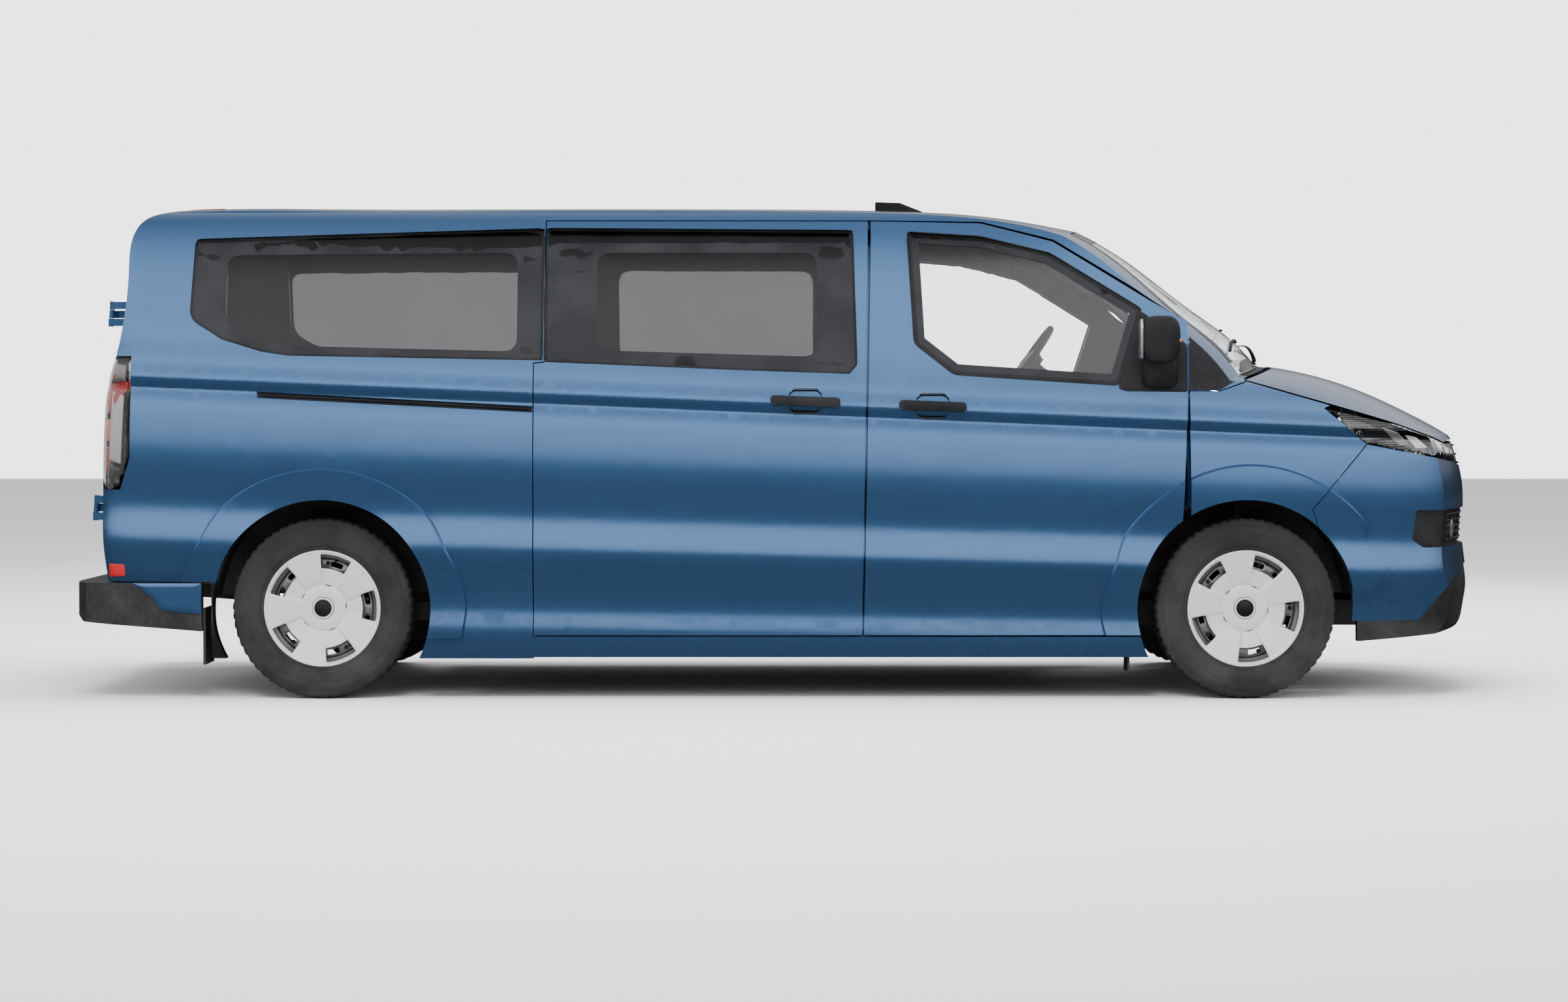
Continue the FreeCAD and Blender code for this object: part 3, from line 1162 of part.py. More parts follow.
def revolved_body(name, terms):
    """PartDesign body turned about its Z axis from (radius, offset) expressions of the sheet."""
    body = doc.addObject("PartDesign::Body", name)
    body.Label = name
    values = [(term_value(r), term_value(o)) for r, o in terms]
    sketch = wheel_profile(body, name + "_profile", values)
    count = len(terms)
    for i in range(count):
        sketch.addConstraint(Sketcher.Constraint("Coincident", i, 2, (i + 1) % count, 1))
    for i, (radius, offset) in enumerate(terms):
        across_index = sketch.addConstraint(Sketcher.Constraint("DistanceX", -1, 1, i, 1, values[i][0]))
        sketch.setExpression(f"Constraints[{across_index}]", expression(radius))
        if abs(values[i][1]) > 0:
            if values[i][1] > 0:
                up_index = sketch.addConstraint(Sketcher.Constraint("DistanceY", -1, 1, i, 1, values[i][1]))
                sketch.setExpression(f"Constraints[{up_index}]", expression(offset))
            else:
                up_index = sketch.addConstraint(Sketcher.Constraint("DistanceY", i, 1, -1, 1, -values[i][1]))
                sketch.setExpression(f"Constraints[{up_index}]", "-(" + expression(offset) + ")")
    turn = body.newObject("PartDesign::Revolution", name + "_turn")
    turn.Profile = sketch
    turn.ReferenceAxis = (sketch, ["V_Axis"])
    turn.Angle = 360
    return body


def term_value(term):
    """Value of a (alias, factor, constant) term."""
    alias, factor, constant = term
    return getattr(s, alias) * factor + constant


def expression(term):
    alias, factor, constant = term
    return f"Sizes.{alias} * {factor} + {constant}"


def wheel_place(x, side):
    """Axis along Y, face outwards."""
    angle = 90 if side < 0 else -90
    return Placement(vec(x, side * HALF_TRACK, AXLE_HEIGHT), Rotation(vec(1, 0, 0), angle))


def turned(body, x, side):
    body.Placement = wheel_place(x, side)
    PIECES.append(body)


WINDOW_COUNT = 5
WINDOW_ANGLE = 36
WINDOW_INNER = 152
WINDOW_OUTER = 186


def windowed(body, x, side):
    """Set a wheel with windows near its rim, cut through the face of the turned body."""
    ring = Part.makeCylinder(WINDOW_OUTER, 120, vec(0, 0, 10), vec(0, 0, 1), WINDOW_ANGLE)
    window = ring.cut(Part.makeCylinder(WINDOW_INNER, 140, vec(0, 0, 0)))
    doc.recompute()
    shape = body.Shape
    for i in range(WINDOW_COUNT):
        cutter = window.copy()
        cutter.rotate(vec(0, 0, 0), vec(0, 0, 1), i * 360 / WINDOW_COUNT)
        shape = shape.cut(cutter)
    wheel = doc.addObject("Part::Feature", body.Label + "_face")
    wheel.Shape = shape
    wheel.Label = body.Label.removeprefix("turned_")
    wheel.Placement = wheel_place(x, side)
    PIECES.append(wheel)


TYRE_TERMS = [
    (("rim_radius", 1, 0), ("tyre_width", -0.42, 0)),
    (("tyre_radius", 0.55, 97), ("tyre_width", -0.5, 0)),
    (("tyre_radius", 1, 0), ("tyre_width", -0.39, 0)),
    (("tyre_radius", 1, 0), ("tyre_width", 0.39, 0)),
    (("tyre_radius", 0.55, 97), ("tyre_width", 0.5, 0)),
    (("rim_radius", 1, 0), ("tyre_width", 0.42, 0)),
]
RIM_TERMS = [
    (("hub_bore", 1, 0), ("tyre_width", 0, 22)),
    (("hub_radius", 1, 22), ("tyre_width", 0, 22)),
    (("cover_radius", 0.62, 0), ("tyre_width", 0, 38)),
    (("rim_radius", 1, -26), ("tyre_width", 0, 44)),
    (("rim_radius", 1, -26), ("tyre_width", -0.42, 0)),
    (("rim_radius", 1, -0.3), ("tyre_width", -0.42, 0)),
    (("rim_radius", 1, -0.3), ("tyre_width", 0.42, 3)),
    (("cover_radius", 1, -9), ("tyre_width", 0.42, 6)),
    (("cover_radius", 0.62, 0), ("tyre_width", 0, 62)),
    (("hub_radius", 1, 22), ("tyre_width", 0, 56)),
    (("hub_radius", 0.6, 0), ("tyre_width", 0, 70)),
    (("hub_bore", 1, 0), ("tyre_width", 0, 70)),
]
for end, x in (("front", FRONT_AXLE), ("rear", REAR_AXLE)):
    for side_name, side in (("right", -1), ("left", 1)):
        turned(revolved_body(f"tyre_{end}_{side_name}", TYRE_TERMS), x, side)
        windowed(revolved_body(f"turned_wheel_{end}_{side_name}", RIM_TERMS), x, side)

# Front suspension: knuckles with hubs, fixed struts, lower arms and crossmember
KINGPIN_FOOT_Z = AXLE_HEIGHT - 113
KINGPIN_HEAD_Z = AXLE_HEIGHT + s.tub_radius + 60
kingpin_foot = vec(FRONT_AXLE, -s.kingpin_foot, KINGPIN_FOOT_Z)
kingpin_head = vec(FRONT_AXLE, -s.kingpin_head, KINGPIN_HEAD_Z)
kingpin_way = (kingpin_head - kingpin_foot).normalize()
DISC_FACE = HALF_TRACK + 22 - SEAT
hub = across(s.hub_radius, FRONT_AXLE, AXLE_HEIGHT, -DISC_FACE, -HALF_TRACK + 60)
spigot = across(s.hub_bore - 0.5, FRONT_AXLE, AXLE_HEIGHT, -DISC_FACE - 20, -HALF_TRACK)
brake = across(150, FRONT_AXLE, AXLE_HEIGHT, -HALF_TRACK + 30, -HALF_TRACK + 8)
upright = Part.makeCylinder(34, 235, kingpin_foot + kingpin_way * 14, kingpin_way)
upright_arm = box(FRONT_AXLE - 30, FRONT_AXLE + 30, -HALF_TRACK + 40, -s.kingpin_foot + 40, AXLE_HEIGHT - 40,
                  AXLE_HEIGHT + 40)
caliper = box(FRONT_AXLE - 168, FRONT_AXLE - 90, -HALF_TRACK + 50, -HALF_TRACK - 4, AXLE_HEIGHT - 60,
              AXLE_HEIGHT + 60)
steering_arm = box(FRONT_AXLE - 130, FRONT_AXLE, -s.kingpin_foot - 2, -s.kingpin_foot + 28, AXLE_HEIGHT - 70,
                   AXLE_HEIGHT - 45)
knuckle = joined([hub, spigot, brake, upright, upright_arm, caliper, steering_arm])
place("knuckle_right", knuckle)
place("knuckle_left", mirrored(knuckle))

STRUT_FROM = 249.1
strut_run = (KINGPIN_HEAD_Z - KINGPIN_FOOT_Z) / kingpin_way.z
strut_foot = kingpin_foot + kingpin_way * (STRUT_FROM + SEAT)
strut = Part.makeCylinder(22, strut_run - STRUT_FROM, strut_foot, kingpin_way)
strut = strut.common(across(s.tub_radius - SEAT, FRONT_AXLE, AXLE_HEIGHT, -FAR, 0))
place("front_struts", Part.makeCompound(both_sides(strut)))

arm = plan_prism([(FRONT_AXLE - 190, -420), (FRONT_AXLE + 120, -420), (FRONT_AXLE + 30, -s.kingpin_foot - 4),
                  (FRONT_AXLE - 30, -s.kingpin_foot - 4)], KINGPIN_FOOT_Z - 34, KINGPIN_FOOT_Z - 10)
ball = Part.makeCylinder(16, 22, vec(FRONT_AXLE, -s.kingpin_foot, KINGPIN_FOOT_Z - 18), vec(0, 0, 1))
cross = box(FRONT_AXLE - 230, FRONT_AXLE + 180, -440, 440, KINGPIN_FOOT_Z - 40, KINGPIN_FOOT_Z + 40)
rail = box(FRONT_AXLE - 420, NOSE - 190, 400, 470, KINGPIN_FOOT_Z + 20, KINGPIN_FOOT_Z + 120)
rail_post = box(FRONT_AXLE - 480, FRONT_AXLE - 400, 400, 470, KINGPIN_FOOT_Z + 20, FLOOR_FOOT - SEAT)
horn = box(NOSE - 300, NOSE - 140, 400, 470, KINGPIN_FOOT_Z + 60, 680)
beam_region = end_prism([(-640, 575), (640, 575), (640, 700), (-640, 700)], NOSE - 500, NOSE + 50)
crash_beam = layer(beam_region, s.bumper_thickness + SEAT, s.bumper_thickness + 60, top_form)
side_parts = [arm, ball, rail, rail_post, horn]
subframe = joined([cross, crash_beam] + [piece for part in side_parts for piece in both_sides(part)])
place("front_subframe", subframe)

# Rear axle beam with trailing arms, springs and hubs
beam = across(38, REAR_AXLE + 60, AXLE_HEIGHT - 30, -HALF_TRACK + 130, HALF_TRACK - 130)
rear_hub = across(s.hub_radius, REAR_AXLE, AXLE_HEIGHT, -DISC_FACE, -HALF_TRACK + 150)
rear_spigot = across(s.hub_bore - 0.5, REAR_AXLE, AXLE_HEIGHT, -DISC_FACE - 20, -HALF_TRACK)
drum = across(140, REAR_AXLE, AXLE_HEIGHT, -HALF_TRACK + 50, -HALF_TRACK - 6)
trailing = box(REAR_AXLE - 60, REAR_AXLE + 525, -HALF_TRACK + 175, -HALF_TRACK + 240, AXLE_HEIGHT - 60,
               AXLE_HEIGHT + 10)
mount = box(REAR_AXLE + 446, REAR_AXLE + 530, -HALF_TRACK + 165, -HALF_TRACK + 250, AXLE_HEIGHT - 40,
            FLOOR_FOOT - SEAT)
carrier = box(REAR_AXLE - 45, REAR_AXLE + 45, -HALF_TRACK + 120, -HALF_TRACK + 200,
              AXLE_HEIGHT - 55, AXLE_HEIGHT + 55)
spring_foot = vec(REAR_AXLE - 10, -HALF_TRACK + 300, AXLE_HEIGHT)
spring = Part.makeCylinder(55, FLOOR_FOOT - SEAT - AXLE_HEIGHT, spring_foot)
spring_pan = box(REAR_AXLE - 70, REAR_AXLE + 100, -HALF_TRACK + 180, -HALF_TRACK + 370,
                 AXLE_HEIGHT - 50, AXLE_HEIGHT)
side_parts = [rear_hub, rear_spigot, drum, trailing, mount, carrier, spring, spring_pan]
place("rear_axle", joined([beam] + [piece for part in side_parts for piece in both_sides(part)]))

# Engine, fuel tank, exhaust
engine = doc.addObject("Part::Box", "engine_block")
engine.Label = "engine_block"
engine.setExpression("Length", "Sizes.front_overhang * 0.5")
engine.setExpression("Width", "Sizes.wheel_turn_room * 1.35")
engine.Height = 640
engine.Placement = Placement(vec(FRONT_AXLE + 10, -s.wheel_turn_room * 0.675, KINGPIN_FOOT_Z + 40 + SEAT),
                             Rotation())
PIECES.append(engine)
tank = doc.addObject("Part::Box", "fuel_tank")
tank.Label = "fuel_tank"
tank.Length = 900
tank.Width = 520
tank.setExpression("Height", "Sizes.floor_top - Sizes.floor_thickness - 300")
tank.Placement = Placement(vec(B_LINE - 850, -620, 300 - SEAT), Rotation())
PIECES.append(tank)
PIPE_Y = 260
PIPE_Z = 402
pipe = Part.makeCylinder(28, 3600, vec(BACK + 160, PIPE_Y, PIPE_Z), vec(1, 0, 0))
muffler = Part.makeCylinder(105, 620, vec(C_LINE + 100, PIPE_Y, PIPE_Z), vec(1, 0, 0))
hangers = [box(x, x + 24, PIPE_Y - 12, PIPE_Y + 12, PIPE_Z, FLOOR_FOOT - SEAT)
           for x in (BACK + 740, C_LINE + 60, B_LINE + 300)]
place("exhaust_pipe", joined([pipe, muffler] + hangers))

# Mudflaps
flap_rear = box(BUMPER_FRONT + SEAT, BUMPER_FRONT + 10, -HALF_TRACK - 95, -HALF_TRACK + 105,
                130, BUMPER_FOOT + 90)
flap_front = box(FRONT_AXLE - 446, FRONT_AXLE - 438, -HALF_TRACK - 75, -HALF_TRACK + 75, 101, SILL_FOOT - SEAT)
place("mudflaps", Part.makeCompound(both_sides(flap_rear) + both_sides(flap_front)))

# Mirrors, on the front doors
mirror_plan = [(A_LINE - 196, -984), (A_LINE - 194, -1112), (A_LINE - 180, -1130), (A_LINE - 130, -1135),
               (A_LINE - 80, -1118), (A_LINE - 46, -1080), (A_LINE - 38, -1030), (A_LINE - 40, -984)]
mirror_side = [(A_LINE - 190, BELT + 60), (A_LINE - 168, BELT + 34), (A_LINE - 64, BELT + 30),
               (A_LINE - 38, BELT + 58), (A_LINE - 40, BELT + 178), (A_LINE - 70, BELT + 208),
               (A_LINE - 166, BELT + 210), (A_LINE - 194, BELT + 182)]
mirror_head = plan_prism(mirror_plan).common(side_prism(mirror_side))
# The foot ends close to the door's pin, so that it clears the front trim with the door wide open
FOOT_FRONT = A_LINE - 40
arm_side = [(A_LINE - 176, BELT + 62), (A_LINE - 64, BELT + 62), (FOOT_FRONT, BELT + 24),
            (FOOT_FRONT, BELT - 76), (A_LINE - 120, BELT - 78), (A_LINE - 172, BELT - 30)]
mirror_arm = side_prism(arm_side, -1020, -900)
mirror = joined([mirror_head, mirror_arm]).cut(side_form(-SEAT))
place("mirror_right", mirror)
place("mirror_left", mirrored(mirror))

# Check every object, then write each piece
doc.recompute()
for item in doc.Objects:
    if "Invalid" in item.State or "Error" in item.State:
        raise RuntimeError(f"{item.Label}: {item.State}")
for piece in PIECES:
    shape = piece.Shape
    if shape.isNull() or not shape.isValid():
        raise RuntimeError(f"{piece.Label}: shape is null or not valid")
for piece in PIECES:
    piece.Shape.exportStep(f"parts/{piece.Label}.step")
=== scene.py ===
import math

import bmesh
import bpy
from bpy.props import FloatProperty, FloatVectorProperty, IntProperty, PointerProperty
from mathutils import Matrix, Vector
from mathutils.bvhtree import BVHTree
from mathutils.geometry import delaunay_2d_cdt


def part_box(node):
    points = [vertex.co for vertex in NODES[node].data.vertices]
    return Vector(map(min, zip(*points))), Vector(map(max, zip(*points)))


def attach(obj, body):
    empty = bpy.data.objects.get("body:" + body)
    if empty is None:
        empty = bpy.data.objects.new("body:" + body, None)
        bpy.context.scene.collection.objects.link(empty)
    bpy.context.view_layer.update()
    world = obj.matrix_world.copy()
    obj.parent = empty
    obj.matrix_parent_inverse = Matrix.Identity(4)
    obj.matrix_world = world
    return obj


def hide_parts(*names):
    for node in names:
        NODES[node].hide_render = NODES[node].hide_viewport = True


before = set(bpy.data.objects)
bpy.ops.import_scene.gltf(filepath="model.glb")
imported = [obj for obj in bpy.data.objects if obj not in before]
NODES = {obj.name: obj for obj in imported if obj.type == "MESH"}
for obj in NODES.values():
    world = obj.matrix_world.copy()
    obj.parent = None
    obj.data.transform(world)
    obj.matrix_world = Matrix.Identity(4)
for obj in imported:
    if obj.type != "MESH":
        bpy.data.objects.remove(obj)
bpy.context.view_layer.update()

bl_info = {
    "name": "Minibus",
    "version": (1, 0, 0),
    "blender": (4, 5, 0),
    "location": "3D View > Sidebar > Minibus",
    "description": "Dresses the packed minibus with its finishes, wheels, lamps, glass surrounds and cabin",
    "category": "Object",
}

SIDES = (("right", -1), ("left", 1))
ENDS = ("front", "rear")


# Places read from the frame, in metres
def middle(node):
    low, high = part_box(node)
    return (Vector(low) + Vector(high)) / 2


WHEEL_AT = {(end, name): middle(f"tyre_{end}_{name}") for end in ENDS for name, _ in SIDES}
FRONT_AXLE = WHEEL_AT["front", "right"].x
REAR_AXLE = WHEEL_AT["rear", "right"].x
A_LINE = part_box("front_door_right")[1][0]
B_LINE = A_LINE - 1.217
C_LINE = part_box("sliding_door_right")[0][0]
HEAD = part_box("front_door_right")[1][2]
BELT = HEAD - 0.577
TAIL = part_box("rear_bumper")[0][0]
BACK = TAIL + 0.1
ARCH_END_TOP = 0.441
ARCH_END_FROM = REAR_AXLE - 0.285
ARCH_END_TO = TAIL + 0.511


# Settings that a user would change
class MinibusFinish(bpy.types.PropertyGroup):
    """Colours of the body, glass, plastics and wheels."""
    paint: FloatVectorProperty(name="Paint", description="Metallic body colour", subtype="COLOR", size=3,
                               default=(0.045, 0.130, 0.300), min=0, max=1)
    paint_flake: FloatVectorProperty(name="Flake", description="Colour of the flakes in the paint",
                                     subtype="COLOR", size=3, default=(0.13, 0.31, 0.62), min=0, max=1)
    plastic: FloatVectorProperty(name="Plastic", description="Unpainted outer plastics", subtype="COLOR",
                                 size=3, default=(0.009, 0.009, 0.010), min=0, max=1)
    rubber: FloatVectorProperty(name="Rubber", description="Tyres and seals", subtype="COLOR", size=3,
                                default=(0.012, 0.012, 0.0125), min=0, max=1)
    cover: FloatVectorProperty(name="Wheel silver", description="Wheel covers", subtype="COLOR", size=3,
                               default=(0.60, 0.61, 0.63), min=0, max=1)
    privacy: FloatVectorProperty(name="Privacy glass", description="Tint of the rear glass", subtype="COLOR",
                                 size=3, default=(0.235, 0.237, 0.243), min=0, max=1)
    clear: FloatVectorProperty(name="Front glass", description="Tint of the front glass", subtype="COLOR",
                               size=3, default=(0.97, 0.985, 0.98), min=0, max=1)
    lining: FloatVectorProperty(name="Lining", description="Roof lining and pillar trim", subtype="COLOR",
                                size=3, default=(0.075, 0.075, 0.078), min=0, max=1)
    cabin: FloatVectorProperty(name="Cabin plastic", description="Dashboard and door trim", subtype="COLOR",
                               size=3, default=(0.030, 0.031, 0.034), min=0, max=1)
    cloth: FloatVectorProperty(name="Seat cloth", description="Woven seat covers", subtype="COLOR", size=3,
                               default=(0.050, 0.053, 0.060), min=0, max=1)


class MinibusSizes(bpy.types.PropertyGroup):
    """Sizes of the details that the scene adds."""
    seal_width: FloatProperty(name="Seal width", description="Rubber round a pane", default=0.012,
                              unit="LENGTH")
    tread_depth: FloatProperty(name="Tread depth", description="Depth of the tyre grooves", default=0.0075,
                               unit="LENGTH")
    grip_proud: FloatProperty(name="Grip height", description="Door grips over the door", default=0.0245,
                              unit="LENGTH")
    pad_swell: FloatProperty(name="Seat swell", description="Most that a seat pad's cover may move",
                             default=0.024, unit="LENGTH")
    pad_voxel: FloatProperty(name="Seat cell", description="Cell size of the remeshed seat pads",
                             default=0.0135, unit="LENGTH")
    pad_frames: IntProperty(name="Swell frames", description="Frames of the seat swelling", default=20,
                            min=2)


class MinibusStage(bpy.types.PropertyGroup):
    """Floor, light and camera."""
    floor: FloatVectorProperty(name="Floor", description="Plain pale floor", subtype="COLOR", size=3,
                               default=(0.86, 0.86, 0.87), min=0, max=1)
    sky: FloatProperty(name="Light", description="Strength of the soft surrounding light", default=1.0,
                       min=0)
    lens: FloatProperty(name="Lens", description="Focal length of the camera", default=78.8, unit="CAMERA")


def finish():
    return bpy.context.scene.minibus_finish


def sizes():
    return bpy.context.scene.minibus_sizes


def stage_settings():
    return bpy.context.scene.minibus_stage


# Shader effects that several materials share
def new_group(name, inputs, outputs):
    group = bpy.data.node_groups.new(name, "ShaderNodeTree")
    for socket, value in inputs:
        item = group.interface.new_socket(socket, in_out="INPUT", socket_type="NodeSocketFloat")
        item.default_value = value
    for socket, kind in outputs:
        group.interface.new_socket(socket, in_out="OUTPUT", socket_type=kind)
    return group, group.nodes.new("NodeGroupInput"), group.nodes.new("NodeGroupOutput")


def add(tree, kind, inputs=(), **settings):
    """A node with its settings, and its sockets set or linked by name or number."""
    node = tree.nodes.new(kind)
    for key, value in settings.items():
        setattr(node, key, value)
    for key, value in dict(inputs).items():
        if isinstance(value, bpy.types.NodeSocket):
            tree.links.new(value, node.inputs[key])
        else:
            node.inputs[key].default_value = value
    return node


def maths(tree, operation, a, b=0.0, clamp=False):
    return add(tree, "ShaderNodeMath", {0: a, 1: b}, operation=operation, use_clamp=clamp).outputs[0]


def ramp(tree, value, low, high, start=0.0, end=1.0):
    node = add(tree, "ShaderNodeMapRange", {"Value": value, "From Min": low, "From Max": high,
                                            "To Min": start, "To Max": end}, interpolation_type="SMOOTHSTEP")
    return node.outputs["Result"]


def object_place(tree):
    return add(tree, "ShaderNodeTexCoord").outputs["Object"]


def make_grain():
    """Moulded plastic grain: a fine leathery height and a slow unevenness."""
    group, given, out = new_group("moulded_grain", [("Scale", 900.0)],
                                  [("Height", "NodeSocketFloat"), ("Unevenness", "NodeSocketFloat")])
    place = object_place(group)
    cells = add(group, "ShaderNodeTexVoronoi", {"Vector": place, "Scale": given.outputs["Scale"]},
                feature="SMOOTH_F1")
    slow = add(group, "ShaderNodeTexNoise", {"Vector": place, "Scale": 5.0, "Detail": 4.0})
    group.links.new(cells.outputs["Distance"], out.inputs["Height"])
    group.links.new(slow.outputs["Fac"], out.inputs["Unevenness"])
    return group


def make_dust():
    """Road dust: more of it low down, in soft clouds."""
    group, given, out = new_group("road_dust", [("Top", 0.75), ("Amount", 0.35)],
                                  [("Mask", "NodeSocketFloat")])
    place = object_place(group)
    split = add(group, "ShaderNodeSeparateXYZ", {0: place})
    low = maths(group, "DIVIDE", split.outputs["Z"], given.outputs["Top"])
    fade = ramp(group, low, 1.0, 0.1)
    cloud = add(group, "ShaderNodeTexNoise", {"Vector": place, "Scale": 7.0, "Detail": 6.0,
                                              "Roughness": 0.65})
    cloudy = ramp(group, cloud.outputs["Fac"], 0.3, 0.75)
    mask = maths(group, "MULTIPLY", maths(group, "MULTIPLY", fade, cloudy), given.outputs["Amount"])
    group.links.new(mask, out.inputs["Mask"])
    return group


def make_wear():
    """Edges rubbed lighter, broken up by noise."""
    group, given, out = new_group("edge_wear", [("Amount", 0.5)], [("Mask", "NodeSocketFloat")])
    sharp = ramp(group, add(group, "ShaderNodeNewGeometry").outputs["Pointiness"], 0.53, 0.62)
    spots = add(group, "ShaderNodeTexNoise", {"Vector": object_place(group), "Scale": 60.0, "Detail": 3.0})
    broken = maths(group, "MULTIPLY", sharp, ramp(group, spots.outputs["Fac"], 0.4, 0.7))
    group.links.new(maths(group, "MULTIPLY", broken, given.outputs["Amount"]), out.inputs["Mask"])
    return group


def make_weave():
    """Two crossing threads: height and a thread mask."""
    group, given, out = new_group("cloth_weave", [("Scale", 420.0)],
                                  [("Height", "NodeSocketFloat"), ("Thread", "NodeSocketFloat")])
    place = object_place(group)
    threads = []
    for direction in ("X", "Y", "Z"):
        wave = add(group, "ShaderNodeTexWave", {"Vector": place, "Scale": given.outputs["Scale"],
                                                "Distortion": 0.6},
                   wave_type="BANDS", bands_direction=direction)
        threads.append(wave.outputs["Fac"])
    both = maths(group, "MAXIMUM", maths(group, "MULTIPLY", threads[0], threads[2]), threads[1])
    group.links.new(both, out.inputs["Height"])
    speck = add(group, "ShaderNodeTexNoise", {"Vector": place, "Scale": 240.0, "Detail": 2.0})
    group.links.new(ramp(group, speck.outputs["Fac"], 0.35, 0.65), out.inputs["Thread"])
    return group


def make_flake():
    """Metal flakes under lacquer: a mask for colour and one for roughness."""
    group, given, out = new_group("paint_flake", [("Scale", 1400.0)],
                                  [("Flake", "NodeSocketFloat"), ("Ripple", "NodeSocketFloat")])
    place = object_place(group)
    cells = add(group, "ShaderNodeTexVoronoi", {"Vector": place, "Scale": given.outputs["Scale"]})
    tone = add(group, "ShaderNodeSeparateXYZ", {0: cells.outputs["Color"]})
    slow = add(group, "ShaderNodeTexNoise", {"Vector": place, "Scale": 3.0, "Detail": 2.0})
    group.links.new(tone.outputs["X"], out.inputs["Flake"])
    group.links.new(slow.outputs["Fac"], out.inputs["Ripple"])
    return group


def make_inside():
    """1 on faces that look into the cabin: sideways inwards, or down from the roof."""
    group, given, out = new_group("cabin_side", [("Roof from", 1.45)],
                                  [("Inside", "NodeSocketFloat"), ("Overhead", "NodeSocketFloat")])
    coords = add(group, "ShaderNodeTexCoord")
    place = add(group, "ShaderNodeSeparateXYZ", {0: coords.outputs["Object"]})
    normal = add(group, "ShaderNodeSeparateXYZ", {0: coords.outputs["Normal"]})
    side = maths(group, "SIGN", place.outputs["Y"])
    across = maths(group, "MULTIPLY", normal.outputs["Y"], side)
    inwards = ramp(group, across, -0.30, -0.42)
    high = maths(group, "GREATER_THAN", place.outputs["Z"], given.outputs["Roof from"])
    down = maths(group, "MULTIPLY", ramp(group, normal.outputs["Z"], -0.35, -0.5), high)
    group.links.new(maths(group, "MAXIMUM", inwards, down), out.inputs["Inside"])
    group.links.new(down, out.inputs["Overhead"])
    return group


GROUPS = {}


def effect(tree, name, **values):
    makers = {"grain": make_grain, "dust": make_dust, "wear": make_wear, "weave": make_weave,
              "flake": make_flake, "inside": make_inside}
    if name not in GROUPS:
        GROUPS[name] = makers[name]()
    node = tree.nodes.new("ShaderNodeGroup")
    node.node_tree = GROUPS[name]
    for key, value in values.items():
        node.inputs[key.replace("_", " ")].default_value = value
    return node


def mix_colour(tree, fac, a, b):
    node = add(tree, "ShaderNodeMix", {"Factor": fac}, data_type="RGBA")
    for key, value in ((6, a), (7, b)):
        if isinstance(value, bpy.types.NodeSocket):
            tree.links.new(value, node.inputs[key])
        else:
            node.inputs[key].default_value = (*value[:3], 1)
    return node.outputs[2]


def mix_value(tree, fac, a, b):
    return add(tree, "ShaderNodeMix", {"Factor": fac, 2: a, 3: b}, data_type="FLOAT").outputs[0]


def start_material(name):
    material = bpy.data.materials.new(name)
    material.use_nodes = True
    tree = material.node_tree
    return material, tree, tree.nodes["Principled BSDF"]


def set_up(shader, **values):
    for key, value in values.items():
        socket = shader.inputs[key.replace("_", " ")]
        if socket.type == "RGBA":
            value = (*value[:3], 1)
        socket.default_value = value


def bump(tree, height, strength, distance, shader):
    node = add(tree, "ShaderNodeBump", {"Height": height, "Strength": strength, "Distance": distance})
    tree.links.new(node.outputs["Normal"], shader.inputs["Normal"])


def body_paint():
    material, tree, shader = start_material("body_paint")
    flake = effect(tree, "flake")
    inside = effect(tree, "inside")
    dust = effect(tree, "dust", Top=0.62, Amount=0.04)
    grain = effect(tree, "grain", Scale=700.0)
    tone = ramp(tree, flake.outputs["Flake"], 0.0, 1.0, 0.31, 0.39)
    paint = mix_colour(tree, tone, finish().paint, finish().paint_flake)
    paint = mix_colour(tree, dust.outputs["Mask"], paint, (0.30, 0.27, 0.23))
    place = add(tree, "ShaderNodeSeparateXYZ", {0: object_place(tree)})
    low = maths(tree, "LESS_THAN", place.outputs["Z"], ARCH_END_TOP)
    near = maths(tree, "LESS_THAN", place.outputs["X"], ARCH_END_FROM)
    far = maths(tree, "GREATER_THAN", place.outputs["X"], ARCH_END_TO)
    arch_end = maths(tree, "MULTIPLY", low, maths(tree, "MULTIPLY", near, far))
    paint = mix_colour(tree, arch_end, paint, finish().plastic)
    trim = mix_colour(tree, inside.outputs["Overhead"], finish().cabin, finish().lining)
    tree.links.new(mix_colour(tree, inside.outputs["Inside"], paint, trim), shader.inputs["Base Color"])
    outer_rough = ramp(tree, flake.outputs["Ripple"], 0.2, 0.8, 0.24, 0.28)
    outer_rough = maths(tree, "ADD", outer_rough, maths(tree, "MULTIPLY", dust.outputs["Mask"], 0.4))
    tree.links.new(mix_value(tree, inside.outputs["Inside"], outer_rough, 0.7), shader.inputs["Roughness"])
    outside = maths(tree, "SUBTRACT", 1.0, maths(tree, "MAXIMUM", inside.outputs["Inside"], arch_end))
    tree.links.new(maths(tree, "MULTIPLY", outside, 0.85), shader.inputs["Metallic"])
    tree.links.new(outside, shader.inputs["Coat Weight"])
    set_up(shader, Coat_Roughness=0.06, Coat_IOR=1.55)
    height = maths(tree, "MULTIPLY", grain.outputs["Height"], inside.outputs["Inside"])
    bump(tree, height, 0.25, 0.0006, shader)
    return material


